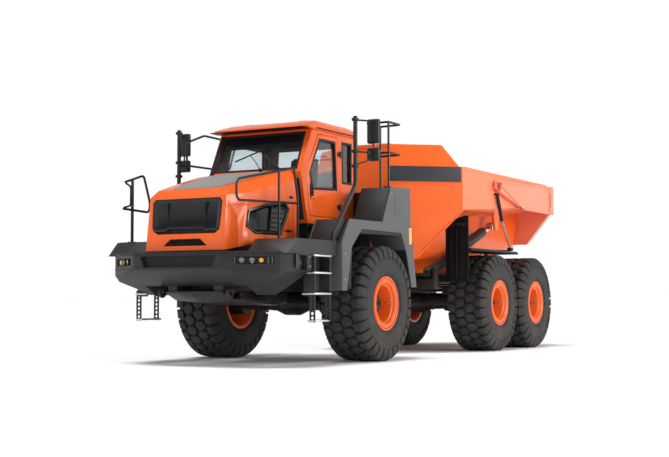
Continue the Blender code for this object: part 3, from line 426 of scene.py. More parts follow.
class Paint(Enum):
    """Every finish on the truck."""

    ORANGE = Finish("orange_paint", TRUCK_ORANGE, rough=0.34, coat=0.30, grain=90.0, depth=0.05, tone=0.05, dust=0.05)
    CAB = CabPaint("cab_paint", TRUCK_ORANGE, rough=0.34, coat=0.30, grain=90.0, depth=0.05, tone=0.05, dust=0.03)
    # the load body's upper flanks behind the fold are a paler, pinker orange: a painted highlight
    LOAD = BodyPaint("load_body_paint_with_highlight", TRUCK_ORANGE, rough=0.42, coat=0.10, grain=70.0, depth=0.08, tone=0.07,
                     dust=0.08)
    # the tailgate is a paler, pinker orange than the rest of the truck: the same painted highlight as the load body's
    # flanks
    GATE_HIGHLIGHT = Finish("gate_paint_with_highlight", (0.88, 0.24, 0.14), rough=0.42, coat=0.10, grain=70.0, depth=0.08, tone=0.06,
                   dust=0.06)
    RUST = Finish("red_paint", (0.42, 0.020, 0.008), rough=0.42, coat=0.1, grain=90.0, tone=0.1, dust=0.1)
    FENDER = Finish("fender_grey", (0.090, 0.093, 0.098), rough=0.56, grain=520.0, depth=0.12, tone=0.07, dust=0.06)
    BUMPER = Finish("bumper_grey", (0.0185, 0.0185, 0.0198), rough=0.48, grain=420.0, depth=0.12, tone=0.12, dust=0.07,
                    worn=0.30)
    BAND = Finish("band_grey", (0.030, 0.032, 0.040), rough=0.40, coat=0.15, grain=120.0, depth=0.03, dust=0.03)
    PANEL = Finish("hood_panel_grey", (0.26, 0.265, 0.26), rough=0.62, grain=600.0, depth=0.2, tone=0.06, dust=0.10)
    CHASSIS = Finish("chassis_black", (0.008, 0.008, 0.009), rough=0.46, coat=0.08, grain=140.0, depth=0.08, dust=0.14,
                     worn=0.25)
    TUBE = Finish("rail_black", (0.008, 0.008, 0.009), rough=0.38, coat=0.1, grain=200.0, depth=0.04, dust=0.02,
                  worn=0.15)
    PLASTIC = Finish("black_plastic", (0.009, 0.009, 0.010), rough=0.55, grain=700.0, depth=0.1, dust=0.03)
    GLOSS = Finish("gloss_black", (0.006, 0.006, 0.008), rough=0.20, coat=0.3, grain=60.0, depth=0.02, dust=0.02)
    FLAP = Finish("flap_rubber", (0.004, 0.004, 0.0045), rough=0.72, grain=160.0, depth=0.3, dust=0.03, shine=0.15)
    RUBBER = Finish("tyre_black", (0.030, 0.030, 0.031), rough=0.74, grain=240.0, depth=0.3, tone=0.22, dust=0.12,
                    shine=0.25)
    TREAD = Finish("step_aluminium", (0.62, 0.63, 0.64), rough=0.34, metal=0.9, grain=260.0, depth=0.1, dust=0.10)
    STEEL = Finish("bright_steel", (0.42, 0.42, 0.43), rough=0.34, metal=1.0, grain=180.0, depth=0.05, dust=0.12)
    CHROME = Finish("rod_chrome", (0.74, 0.74, 0.76), rough=0.10, metal=1.0, grain=60.0, depth=0.01, dust=0.02)
    BOWL = Finish("lamp_bowl", (0.30, 0.30, 0.32), rough=0.20, metal=1.0, grain=60.0, depth=0.02, dust=0.0)
    MIRROR = Finish("mirror_face", (0.82, 0.84, 0.86), rough=0.06, metal=1.0, grain=30.0, depth=0.005, dust=0.0)
    SEAT = Finish("seat_cloth", (0.030, 0.030, 0.034), rough=0.85, grain=900.0, depth=0.4, tone=0.2, dust=0.0)
    AMBER = Finish("amber_reflector", (0.80, 0.36, 0.04), rough=0.25, coat=0.4, grain=400.0, depth=0.3, dust=0.03)
    RED = Finish("red_lens", (0.55, 0.01, 0.008), rough=0.2, coat=0.5, grain=400.0, depth=0.2, dust=0.03)
    WINDOW = Clear("window_glass", (0.78, 0.84, 0.86))
    LENS = Clear("lamp_lens", (0.80, 0.82, 0.85), 0.03)


# ------------------------------------------------------------------ bench


def only(*items: Item) -> Item:
    """Selects these objects and nothing else, and makes the first one active."""
    bpy.ops.object.select_all(action="DESELECT")
    for item in items:
        item.select_set(True)
    bpy.context.view_layer.objects.active = items[0]
    return items[0]


def linked(name: str, data: Any) -> Item:
    """A new object for this data, placed in the scene."""
    item = bpy.data.objects.new(name, data)
    bpy.context.scene.collection.objects.link(item)
    return item


@contextmanager
def editing(item: Item) -> Iterator[Any]:
    """Opens the object in edit mode with nothing selected and gives its editable mesh."""
    only(item)
    bpy.ops.object.mode_set(mode="EDIT")
    bpy.ops.mesh.select_all(action="DESELECT")
    yield bmesh.from_edit_mesh(item.data)
    bpy.ops.object.mode_set(mode="OBJECT")


def pick_faces(item: Item, mesh: Any, wanted: Callable[[Any], bool]) -> None:
    """Selects the faces that pass the test, in face mode.

    Args:
        item: the object in edit mode.
        mesh: its editable mesh.
        wanted: says whether a face is picked, from its normal or its centre.
    """
    bpy.ops.mesh.select_mode(type="FACE")
    for face in mesh.faces:
        face.select_set(wanted(face))
    bmesh.update_edit_mesh(item.data)


def tidy_normals() -> None:
    """In edit mode, merges doubled points and turns every face outwards."""
    bpy.ops.mesh.select_all(action="SELECT")
    bpy.ops.mesh.remove_doubles(threshold=MERGE)
    bpy.ops.mesh.normals_make_consistent(inside=False)


def modified(item: Item, kind: str, **settings: Any) -> Item:
    """Adds a modifier with these settings and applies it."""
    step = item.modifiers.new(kind.lower(), kind)
    for label, value in settings.items():
        setattr(step, label, value)
    only(item)
    bpy.ops.object.modifier_apply(modifier=step.name)
    return item


def rounded(item: Item, width: float, segments: int = 2, angle: float = 32.0) -> Item:
    """Rounds the edges sharper than this angle."""
    return modified(item, "BEVEL", width=width, segments=segments, limit_method="ANGLE",
                    angle_limit=math.radians(angle), use_clamp_overlap=True)


def plate(outline: Outline, axis: Axis, start: float, end: float, edge: float = 0.0, segments: int = 2,
          taper: float = 1.0) -> Item:
    """A flat outline pushed along an axis.

    Args:
        outline: the corners, as the two coordinates other than the axis's own.
        axis: the direction of the push.
        start: where the first face lies along the axis.
        end: where the pushed face lies.
        edge: the radius of its rounded edges, or 0 to leave them sharp.
        segments: the rounding's steps.
        taper: the pushed face's size against the first one's.

    Returns:
        The new object.
    """
    bpy.ops.mesh.primitive_circle_add(vertices=len(outline), radius=1.0, fill_type="NGON")
    item = bpy.context.object
    for vertex, (first, second) in zip(item.data.vertices, outline):
        vertex.co = axis.place(start, first, second)
    with editing(item):
        bpy.ops.mesh.select_all(action="SELECT")
        push = axis.way() * (end - start)
        bpy.ops.mesh.extrude_region_move(TRANSFORM_OT_translate={"value": push})
        if taper != 1.0:
            bpy.ops.transform.resize(value=(taper, taper, taper))
        tidy_normals()
    return rounded(item, edge, segments) if edge else item


def block(low: Point, high: Point, edge: float = 0.0, segments: int = 2) -> Item:
    """A box between two corners, with rounded edges."""
    bpy.ops.mesh.primitive_cube_add(size=1.0)
    item = bpy.context.object
    for vertex in item.data.vertices:
        vertex.co = [b if c > 0 else a for a, b, c in zip(low, high, vertex.co)]
    return rounded(item, edge, segments) if edge else item


def side_block(side: int, xs: Point, ys: Point, zs: Point, edge: float = 0.0) -> Item:
    """A box on one side of the truck.

    Args:
        side: 1 on the left and -1 on the right.
        xs: its two distances from the truck's middle.
        ys: its first and last y.
        zs: its foot and its top.
        edge: the radius of its rounded edges.

    Returns:
        The new object.
    """
    left, right = sorted((side * xs[0], side * xs[1]))
    return block((left, ys[0], zs[0]), (right, ys[1], zs[1]), edge)


def side_plate(side: int, outline: Outline, near: float, far: float, edge: float = 0.006) -> Item:
    """A (y, z) outline pushed between two distances from the truck's middle, on this side."""
    return plate(outline, Axis.X, *sorted((side * near, side * far)), edge)


def lathe(profile: Outline, axis: Axis, centre: Point, steps: int = 48) -> Item:
    """A closed profile spun about an axis.

    Args:
        profile: the (along, radius) corners of the section.
        axis: the axis of the turn.
        centre: a point on that axis, from which along is measured.
        steps: how many steps make the full turn.

    Returns:
        The new object.
    """
    bpy.ops.mesh.primitive_circle_add(vertices=len(profile), radius=1.0, fill_type="NOTHING")
    item = bpy.context.object
    for vertex, (along, radius) in zip(item.data.vertices, profile):
        vertex.co = axis.place(along, radius, 0.0) + Vector(centre)
    with editing(item):
        bpy.ops.mesh.select_all(action="SELECT")
        bpy.ops.mesh.spin(steps=steps, angle=2.0 * math.pi, center=centre, axis=axis.way())
        tidy_normals()
    return item


def drum(start: Point, end: Point, radius: float, sides: int = 20, edge: float = 0.0) -> Item:
    """A round bar between two points, its rims rounded."""
    line = Vector(end) - Vector(start)
    bpy.ops.mesh.primitive_cylinder_add(
        vertices=sides, radius=radius, depth=line.length, location=(Vector(start) + Vector(end)) / 2.0,
        rotation=line.to_track_quat("Z", "Y").to_euler())
    item = bpy.context.object
    bpy.ops.object.transform_apply(location=True, rotation=True, scale=True)
    return rounded(item, edge, 2, 50.0) if edge else item


def bend_points(points: Sequence[Point], radius: float, closed: bool = False) -> list[Vector]:
    """Rounds the corners of a path with short arcs.

    Args:
        points: the path's corners.
        radius: how far from a corner its arc starts.
        closed: whether the path returns to its first point.

    Returns:
        The points of the rounded path.
    """
    corners = [Vector(p) for p in points]
    count = len(corners)
    made: list[Vector] = []
    for i, corner in enumerate(corners):
        if not closed and i in (0, count - 1):
            made.append(corner)
            continue
        before, after = corners[i - 1] - corner, corners[(i + 1) % count] - corner
        reach = min(radius, before.length * 0.45, after.length * 0.45)
        first, last = corner + before.normalized() * reach, corner + after.normalized() * reach
        for step in range(ARC_STEPS + 1):
            t = step / ARC_STEPS
            made.append(first * (1 - t) ** 2 + corner * (2 * t * (1 - t)) + last * t ** 2)
    return made


def tube(points: Sequence[Point], radius: float, bend: float = 0.06, closed: bool = False, sides: int = 3) -> Item:
    """A bent round tube through the points, made as a curve and turned into a mesh."""
    curve = bpy.data.curves.new("tube", "CURVE")
    curve.dimensions = "3D"
    curve.bevel_depth = radius
    curve.bevel_resolution = sides
    curve.use_fill_caps = not closed
    line = curve.splines.new("POLY")
    path = bend_points(points, bend, closed)
    line.points.add(len(path) - 1)
    for spot, point in zip(line.points, path):
        spot.co = (*point, 1.0)
    line.use_cyclic_u = closed
    only(linked("tube", curve))
    bpy.ops.object.convert(target="MESH")
    with editing(bpy.context.object):
        tidy_normals()
    return bpy.context.object


def joined(*items: Item) -> Item:
    """Joins the objects into the first one."""
    only(*items)
    if len(items) > 1:
        bpy.ops.object.join()
    return bpy.context.object


def carved(item: Item, *cutters: Item) -> Item:
    """Cuts the cutters out of the object and removes them."""
    for cutter in cutters:
        modified(item, "BOOLEAN", operation="DIFFERENCE", solver="EXACT", object=cutter)
        bpy.data.objects.remove(cutter, do_unlink=True)
    return item


def copies(item: Item, places: Iterable[Matrix]) -> Item:
    """Repeats the object's mesh at every place, as one object, and removes the original.

    Args:
        item: the pattern, modelled round the origin.
        places: the matrix of each copy.

    Returns:
        One object with all the copies.
    """
    made = []
    for place in places:
        mesh = item.data.copy()
        mesh.transform(place)
        made.append(linked(item.name, mesh))
    bpy.data.objects.remove(item, do_unlink=True)
    return joined(*made)


def hoop(radius: float, thick: float, sides: int, steps: int) -> Item:
    """A round ring about +Z.

    Args:
        radius: to the middle of its bar.
        thick: the bar's own radius.
        sides: the bar's sides.
        steps: the ring's steps.

    Returns:
        The new object.
    """
    turns = [2.0 * math.pi * i / sides for i in range(sides)]
    return lathe([(thick * math.sin(a), radius + thick * math.cos(a)) for a in turns], Axis.Z, (0, 0, 0), steps)


def bolts(spots: Iterable[Point], way: Point, size: float = 0.014) -> Item:
    """Bolt heads on washers, modelled once and copied.

    Args:
        spots: the centre of each washer's seat.
        way: the direction the heads stand out.
        size: the head's radius.

    Returns:
        One object with every bolt.
    """
    head = drum((0, 0, size * 0.2), (0, 0, size * 0.95), size, 6, size * 0.12)
    washer = drum((0, 0, -size * 0.2), (0, 0, size * 0.22), size * 1.45, 14)
    turn = Vector(way).to_track_quat("Z", "Y").to_matrix().to_4x4()
    return copies(joined(head, washer), [Matrix.Translation(Vector(spot)) @ turn for spot in spots])


@dataclass
class Bench:
    """Where pieces are finished: it knows the frame, the finishes and how far back the frame's origin lies."""

    frame: dict[str, Any]
    shift: float
    materials: dict[Paint, bpy.types.Material] = field(default_factory=dict)

    @classmethod
    def open(cls, frame: dict[str, Any]) -> Bench:
        """Makes the bench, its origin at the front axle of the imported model."""
        low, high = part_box("rim_front_left")
        bench = cls(frame, (low.y + high.y) / 2.0)
        effects = Effects()
        for paint in Paint:
            bench.materials[paint] = paint.value.build(effects)
        return bench

    def box(self, node: str) -> tuple[Vector, Vector]:
        """A CAD node's lowest and highest corner, measured from the front axle."""
        back = Vector((0.0, -self.shift, 0.0))
        low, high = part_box(node)
        return low + back, high + back

    def dress(self, paint: Paint, *nodes: str) -> None:
        """Gives carried-over CAD nodes a finish."""
        for name in nodes:
            mesh = self.frame["nodes"][name].data
            mesh.materials.clear()
            mesh.materials.append(self.materials[paint])
            LOG.info("dressed %s with %s", name, paint.value.name)

    def taken(self, node: str, edge: float = 0.0, segments: int = 2) -> Item:
        """A merged copy of a CAD node to refine, in front-axle places, its flat faces made whole.

        Args:
            node: the CAD node.
            edge: the radius its edges are rounded to.
            segments: the rounding's steps.

        Returns:
            The copy.
        """
        mesh = self.frame["nodes"][node].data.copy()
        mesh.transform(Matrix.Translation((0.0, -self.shift, 0.0)))
        item = linked(f"{node}_copy", mesh)
        with editing(item):
            bpy.ops.mesh.select_all(action="SELECT")
            bpy.ops.mesh.remove_doubles(threshold=MERGE)
            bpy.ops.mesh.dissolve_limited(angle_limit=math.radians(1.5))
        return rounded(item, edge, segments) if edge else item

    def settle(self, item: Item, name: str, paint: Paint, body: str,
               stands_for: Sequence[str] = (), angle: float = 35.0) -> Item:
        """Ends a piece: its place goes into its mesh, and it gets its finish and its body.

        Args:
            item: the modelled object, in front-axle places.
            name: the piece's name.
            paint: its finish.
            body: the CAD body it moves with.
            stands_for: the CAD nodes that it replaces.
            angle: faces that meet at less than this are shaded as one.

        Returns:
            The piece.
        """
        only(item)
        bpy.ops.object.transform_apply(location=True, rotation=True, scale=True)
        item.data.transform(Matrix.Translation((0.0, self.shift, 0.0)))
        bpy.ops.object.shade_smooth_by_angle(angle=math.radians(angle))
        item.name = item.data.name = name
        item.data.materials.clear()
        item.data.materials.append(self.materials[paint])
        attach(item, body)
        if stands_for:
            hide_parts(*stands_for)
        LOG.info("%s: %d faces, %s, rides on %s", name, len(item.data.polygons), paint.value.name, body)
        return item


# ------------------------------------------------------------------ wheels


@dataclass
class Wheel:
    """A treaded tyre on a deep-dish rim, modelled round the origin with its outer face to +X."""

    radius: float = 0.93
    half_width: float = 0.3825
    groove_radius: float = 0.874
    block_foot: float = 0.855
    pitches: int = 30
    rim_radius: float = 0.405
    disc_out: float = 0.085
    stud_ring: float = 0.222
    studs: int = 20

    def carcass(self) -> Item:
        """The tyre's body, with its bead, its bulging walls and their raised rings."""
        w, g = self.half_width, self.groove_radius
        wall = [(0.322, 0.4065), (0.326, 0.446), (0.338, 0.452), (0.352, 0.466), (0.356, 0.492), (0.372, 0.500),
                (0.375, 0.520), (w - 0.005, 0.540), (w - 0.001, 0.570), (w, 0.640), (w - 0.001, 0.700),
                (w + 0.004, 0.706), (w + 0.004, 0.722), (w - 0.006, 0.730), (w - 0.016, 0.780), (w - 0.040, 0.830),
                (w - 0.085, g - 0.008), (w - 0.160, g)]
        return lathe(wall + [(-a, r) for a, r in reversed(wall)], Axis.X, (0, 0, 0), 90)

    def centre_block(self) -> Item:
        """One eight-sided block of the tread's middle rows, standing along +Z at the tyre's crown."""
        half = [(0.094, -0.030), (0.094, 0.036), (0.052, 0.083), (-0.030, 0.083)]
        outline = half + [(-x, -y) for x, y in half]
        return plate(outline, Axis.Z, self.block_foot, self.radius, 0.009, taper=0.96)

    def shoulder_block(self) -> Item:
        """One block of the outer row, which folds over the shoulder and down the wall."""
        w, r = self.half_width, self.radius
        section = [(0.208, self.block_foot), (0.208, r), (0.318, r - 0.004), (w - 0.022, r - 0.042),
                   (w + 0.006, r - 0.112), (w + 0.010, r - 0.190), (w - 0.02, r - 0.196), (0.30, r - 0.12)]
        item = plate(section, Axis.Y, -0.077, 0.077)
        for vertex in item.data.vertices:
            fall = max(0.0, min(1.0, (r - 0.03 - vertex.co.z) / 0.16))
            vertex.co.y *= 1.0 - 0.22 * fall
            if vertex.co.x < 0.21:
                vertex.co.y *= 0.72
        return rounded(item, 0.009)

    def tyre(self) -> Item:
        """The whole tyre, four staggered rows of blocks round the carcass."""
        step = 2.0 * math.pi / self.pitches
        turns = [Matrix.Rotation(step * i, 4, "X") for i in range(self.pitches)]
        halves = [Matrix.Rotation(step * (i + 0.5), 4, "X") for i in range(self.pitches)]
        middle = self.centre_block()
        outer = self.shoulder_block()
        swap = Matrix.Rotation(math.pi, 4, "Z")
        in_place = [turn @ Matrix.Translation((0.1, 0, 0)) for turn in turns]
        across = [turn @ Matrix.Translation((-0.1, 0, 0)) for turn in halves]
        rows = copies(middle, in_place + across)
        edges = copies(outer, halves + [turn @ swap for turn in turns])
        return joined(self.carcass(), rows, edges)

    def rim(self) -> Item:
        """The rim: locking ring, stepped flange, tapering bowl and studded disc."""
        out, back, d = 0.352, 0.330, self.disc_out
        face = [(out, 0.438), (out, 0.422), (0.344, 0.412), (0.330, 0.408), (0.330, 0.398), (0.346, 0.392),
                (0.346, 0.340), (0.340, 0.332), (0.318, 0.326), (0.300, 0.312), (0.292, 0.296), (0.262, 0.286),
                (0.130, 0.268), (d + 0.018, 0.258), (d, 0.246), (d, 0.190), (d - 0.02, 0.180), (d - 0.02, 0.0)]
        rear = [(-0.06, 0.0), (-0.06, 0.290), (-0.10, 0.305), (-0.30, 0.345), (-out, 0.392), (-out, 0.438),
                (-back, 0.438), (-back, self.rim_radius), (back, self.rim_radius), (back, 0.438)]
        dish = lathe(face + rear, Axis.X, (0, 0, 0), 72)
        studs = bolts(self.circle(d, self.stud_ring, self.studs), (1, 0, 0), 0.013)
        seam = tube(self.circle(0.347, 0.352, 64), 0.003, 0.0, True, 1)
        return joined(dish, studs, seam)

    @staticmethod
    def circle(along: float, radius: float, count: int) -> list[Point]:
        """Evenly spaced points round the wheel's axis."""
        turns = [2.0 * math.pi * i / count for i in range(count)]
        return [(along, radius * math.cos(a), radius * math.sin(a)) for a in turns]

    def hub(self) -> Item:
        """The final drive's cover, which stands in the bowl."""
        d = self.disc_out
        section = [(d - 0.03, 0.0), (d - 0.03, 0.178), (d + 0.055, 0.176), (d + 0.075, 0.164), (d + 0.078, 0.122),
                   (d + 0.112, 0.110), (d + 0.120, 0.096), (d + 0.120, 0.040), (d + 0.104, 0.036), (d + 0.104, 0.0)]
        cover = lathe(section, Axis.X, (0, 0, 0), 48)
        plug = bolts([(d + 0.104, 0, 0), (d + 0.118, 0.068, 0)], (1, 0, 0), 0.013)
        return joined(cover, bolts(self.circle(d + 0.076, 0.143, 12), (1, 0, 0), 0.010), plug)

    def valve(self) -> Item:
        """The valve stem, bent out over the bowl."""
        return tube([(0.20, 0.262, 0.0), (0.23, 0.262, 0.0), (0.29, 0.290, 0.0)], 0.007, 0.02)


@dataclass(frozen=True)
class WheelPiece:
    """One modelled piece of a wheel, its finish, its slot, and whether a CAD node of that name stands behind it."""

    kind: str
    pattern: Item
    paint: Paint
    slot: Slot
    in_frame: bool = False
    angle: float = 35.0


@dataclass
class RunningGear:
    """The six wheels."""

    wheel: Wheel = field(default_factory=Wheel)
    rows: tuple[str, ...] = ("front", "mid", "rear")

    def build(self, bench: Bench) -> None:
        """Models one wheel and sets a copy of each of its pieces at all six hubs."""
        w = self.wheel
        pieces = (WheelPiece("tyre", w.tyre(), Paint.RUBBER, Slot.TYRE, True, 40.0),
                  WheelPiece("rim", w.rim(), Paint.ORANGE, Slot.BODY, True),
                  WheelPiece("hub", w.hub(), Paint.CHASSIS, Slot.CHASSIS),
                  WheelPiece("valve", w.valve(), Paint.STEEL, Slot.CHASSIS))
        for piece in pieces:
            for row in self.rows:
                for side, word in SIDES:
                    self.set_copy(bench, piece, side, f"{row}_{word}")
            bpy.data.objects.remove(piece.pattern, do_unlink=True)

    @staticmethod
    def set_copy(bench: Bench, piece: WheelPiece, side: int, place: str) -> None:
        """Sets one copy of a wheel's piece at its hub.

        Args:
            bench: the bench.
            piece: the piece, modelled round the origin.
            side: 1 on the left and -1 on the right.
            place: the names of the axle and the side.
        """
        name = f"{piece.kind}_{place}"
        low, high = bench.box(f"rim_{place}")
        turn = Matrix.Identity(4) if side > 0 else Matrix.Rotation(math.pi, 4, "Z")
        mesh = piece.pattern.data.copy()
        mesh.transform(Matrix.Translation((low + high) / 2.0) @ turn)
        bench.settle(linked(name, mesh), f"{name}_detail", piece.paint, f"wheel_{place}",
                     (name,) if piece.in_frame else (), piece.angle)


# ------------------------------------------------------------------ carried-over nodes


@dataclass
class Carried:
    """The CAD nodes whose shapes stay as they are, and only get their finishes."""

    def build(self, bench: Bench) -> None:
        """Dresses the nodes."""
        sides = [word for _, word in SIDES]
        bench.dress(Paint.CHASSIS, "front_frame", "front_axle", "engine_block", "rear_frame", "bogie_beams", "mid_axle",
                    "rear_axle", *[f"{kind}_barrel_{word}" for kind in ("tip", "steer") for word in sides])
        bench.dress(Paint.CHROME, *[f"{kind}_rod_{word}" for kind in ("tip", "steer") for word in sides])
        bench.dress(Paint.WINDOW, "windshield", "door_glass", "quarter_glass", "right_glass", "rear_glass")
        bench.dress(Paint.LOAD, "dump_body")
        bench.dress(Paint.GATE_HIGHLIGHT, "tailgate")
        bench.dress(Paint.BUMPER, "front_bumper", *[f"ladder_{word}" for word in sides])
        bench.dress(Paint.FENDER, *[f"fender_{word}" for word in sides])
        bench.dress(Paint.ORANGE, "hood", "cab_shell", "cab_roof", "cab_door")
        bench.dress(Paint.PLASTIC, "cab_base", "service_tower", "grille")
        bench.dress(Paint.SEAT, "cab_interior")
        bench.dress(Paint.FLAP, *[f"mudguard_{word}" for word in sides])
        bench.dress(Paint.TUBE, *[f"{kind}_{word}" for kind in ("mirror_post", "front_rail", "rear_rail")
                                  for word in sides])


# ------------------------------------------------------------------ bumper, hood


@dataclass
class FrontEnd:
    """The fabricated bumper with its lamps, light recesses, towing eye and walking decks."""

    recess_half: float = 0.62
    recess_z: Pair = (1.462, 1.63)
    recess_depth: float = 0.07
    corner: tuple[Pair, Pair] = ((0.79, -3.27), (1.50, -2.84))
    lamp_z: float = 1.555
    deck_top: float = 1.88
    lamp_ring: Outline = ((0.0, 0.0), (0.0, 0.050), (0.036, 0.050), (0.040, 0.046), (0.040, 0.042), (0.012, 0.038),
                          (0.010, 0.0))
    lamp_bowl: Outline = ((0.011, 0.0), (0.014, 0.018), (0.032, 0.040), (0.030, 0.041), (0.010, 0.018), (0.009, 0.0))
    lamp_glass: Outline = ((0.036, 0.0), (0.034, 0.026), (0.030, 0.0405), (0.026, 0.0405), (0.030, 0.0))
    amber_glass: Outline = ((0.0, 0.0), (0.0, 0.034), (0.030, 0.034), (0.040, 0.026), (0.044, 0.0))

    def corner_spot(self, side: int, share: float, z: float, out: float = 0.0) -> Vector:
        """A point on the bumper's angled corner face.

        Args:
            side: 1 on the left and -1 on the right.
            share: how far along the face, from its inner edge to its outer one.
            z: the height.
            out: how far off the face.

        Returns:
            The point.
        """
        (x0, y0), (x1, y1) = self.corner
        normal = self.corner_way(1)
        return Vector((side * (x0 + (x1 - x0) * share + normal.x * out), y0 + (y1 - y0) * share + normal.y * out, z))

    def corner_way(self, side: int) -> Vector:
        """The outward direction of the angled corner face."""
        (x0, y0), (x1, y1) = self.corner
        return Vector((side * (y1 - y0), -(x1 - x0), 0.0)).normalized()

    def shell(self, bench: Bench) -> Item:
        """The bumper with its front channel and its corner lamp slots cut in; the side boxes' pockets are not cut here.
        """
        low, high = self.recess_z
        half, depth = self.recess_half, self.recess_depth
        front = self.corner[0][1]
        channel = plate([(-half - 0.06, high), (-half, low), (half, low), (half + 0.06, high)], Axis.Y, front - 0.1,
                        front + depth)
        cutters = [channel]
        for side, _ in SIDES:
            ends = [self.corner_spot(side, s, 0.0, 0.05) for s in (0.17, 0.93)]
            back = [self.corner_spot(side, s, 0.0, -0.035) for s in (0.90, 0.20)]
            cutters.append(plate([(p.x, p.y) for p in ends + back], Axis.Z, self.lamp_z - 0.055, self.lamp_z + 0.055))
        item = carved(bench.taken("front_bumper"), *cutters)
        with editing(item):
            bpy.ops.mesh.select_all(action="SELECT")
            bpy.ops.mesh.dissolve_limited(angle_limit=math.radians(1.0))
        return rounded(item, 0.007)

    def slot_shade_plate(self, side: int) -> Item:
        """A near-black plate just in front of the back of a corner lamp slot: painted shade that darkens the slot."""
        near, far = -0.0345, -0.028
        back = [self.corner_spot(side, share, 0.0, out)
                for share, out in ((0.17, near), (0.93, near), (0.93, far), (0.17, far))]
        return plate([(p.x, p.y) for p in back], Axis.Z, self.lamp_z - 0.054, self.lamp_z + 0.054)

    def recess_shade_plate(self) -> Item:
        """A near-black plate just in front of the back of the front channel: painted shade that darkens the recess."""
        half, (low, high) = self.recess_half, self.recess_z
        back = self.corner[0][1] + self.recess_depth
        inset = 0.002
        outline = [(-half - 0.055, high - inset), (-half, low + inset), (half, low + inset),
                   (half + 0.055, high - inset)]
        return plate(outline, Axis.Y, back - 0.008, back - 0.001)

    def lamps(self, bench: Bench) -> None:
        """Two round lamps and an amber one in each corner slot, a square one in each side pocket, and the near-black
        plates of painted shade at the backs of the slots and the front channel.
        """
        housings, lenses, bowls, ambers, studs = [], [], [], [], []
        for side, _ in SIDES:
            way = self.corner_way(side)
            for share in (0.34, 0.52):
                spot = self.corner_spot(side, share, self.lamp_z, -0.030)
                housings.append(self.turned(self.lamp_ring, spot, way))
                bowls.append(self.turned(self.lamp_bowl, spot, way))
                lenses.append(self.turned(self.lamp_glass, spot, way))
            spot = self.corner_spot(side, 0.68, self.lamp_z, -0.030)
            ambers.append(self.turned(self.amber_glass, spot, way, 24))
            marks = [(s, z) for s in (0.215, 0.80, 0.87) for z in (-0.034, 0.0, 0.034)]
            studs.append(bolts([self.corner_spot(side, s, self.lamp_z + z, -0.034) for s, z in marks], way, 0.008))
            x = side * 1.535
            housings.append(joined(block((x - 0.012, -2.495, 1.425), (x + 0.012, -2.275, 1.635), 0.004),
                                   drum((x, -2.385, 1.53), (x + side * 0.035, -2.385, 1.53), 0.045, 24, 0.004)))
            lenses.append(drum((x + side * 0.030, -2.385, 1.53), (x + side * 0.042, -2.385, 1.53), 0.036, 24, 0.003))
            studs.append(bolts([(side * 1.622, -2.20, z) for z in (1.48, 1.62)], (side, 0, 0), 0.009))
            # a near-black plate of painted shade at the back of the corner slot
            housings.append(self.slot_shade_plate(side))
        # a near-black plate of painted shade at the back of the front channel
        housings.append(self.recess_shade_plate())
        bench.settle(joined(*housings), "lamp_housings_and_shade_plates", Paint.PLASTIC, FRONT)
        bench.settle(joined(*bowls), "lamp_reflectors", Paint.BOWL, FRONT)
        bench.settle(joined(*lenses), "lamp_lenses", Paint.LENS, FRONT)
        bench.settle(joined(*ambers), "turn_lamps", Paint.AMBER, FRONT)
        bench.settle(joined(*studs), "bumper_bolts", Paint.STEEL, FRONT)

    @staticmethod
    def turned(profile: Outline, spot: Vector, way: Vector, steps: int = 28) -> Item:
        """A round piece spun about +Z, then set at this spot to face this way."""
        item = lathe(profile, Axis.Z, (0, 0, 0), steps)
        item.data.transform(Matrix.Translation(spot) @ way.to_track_quat("Z", "Y").to_matrix().to_4x4())
        return item

    def lips(self) -> Item:
        """The thin flanges along the bumper's upper edge and above its chin."""
        (x0, y0), (x1, y1) = self.corner
        way = self.corner_way(1)
        pieces = []
        for z, thick, out in ((1.672, 0.014, 0.016), (1.448, 0.012, 0.014)):
            line = [(x0, y0 - out), (x1 + way.x * out, y1 + way.y * out), (1.62 + out * 0.4, y1 + 0.30 + out),
                    (1.60, y1 + 0.32), (1.47, y1 + 0.03), (x0 - 0.01, y0 + 0.03)]
            outline = line + [(-x, y) for x, y in reversed(line)]
            pieces.append(plate(outline, Axis.Z, z, z + thick, 0.003))
        return joined(*pieces)

    def eye(self) -> Item:
        """The towing eyes under the chin, and the skid plate between them."""
        pieces = [block((-0.50, -2.86, 1.085), (0.50, -2.60, 1.115), 0.01)]
        for side, _ in SIDES:
            x = side * 0.62
            section = [(-0.02, 0.045), (-0.02, 0.085), (0.02, 0.085), (0.02, 0.045)]
            pieces.append(rounded(lathe(section, Axis.X, (x, -2.80, 1.10), 28), 0.008))
            pieces.append(block((x - 0.03, -2.80, 1.10), (x + 0.03, -2.66, 1.18), 0.008))
        return joined(*pieces)

    def deck_cover(self, side: int) -> Item:
        """A deck's anti-slip plate: a thin sheet with rows of pressed studs."""
        xs = sorted((side * 0.955, side * 1.615))
        sheet = block((xs[0], -2.60, self.deck_top), (xs[1], -1.45, self.deck_top + 0.006), 0.002)
        stud = drum((0, 0, 0.004), (0, 0, 0.011), 0.011, 6, 0.002)
        grid = [(xs[0] + 0.05 + 0.07 * i + 0.035 * (j % 2), -2.56 + 0.06 * j, self.deck_top)
                for j in range(18) for i in range(9)]
        return joined(sheet, copies(stud, [Matrix.Translation(spot) for spot in grid if spot[0] < xs[1] - 0.02]))

    def panels(self) -> Item:
        """Raised cover strips on the side boxes, ahead of and above the side pockets."""
        pieces = []
        for side, _ in SIDES:
            pieces += [side_block(side, (1.619, 1.626), ys, zs, 0.003)
                       for ys, zs in (((-2.60, -2.51), (1.445, 1.655)), ((-2.50, -2.265), (1.643, 1.66)))]
        return joined(*pieces)

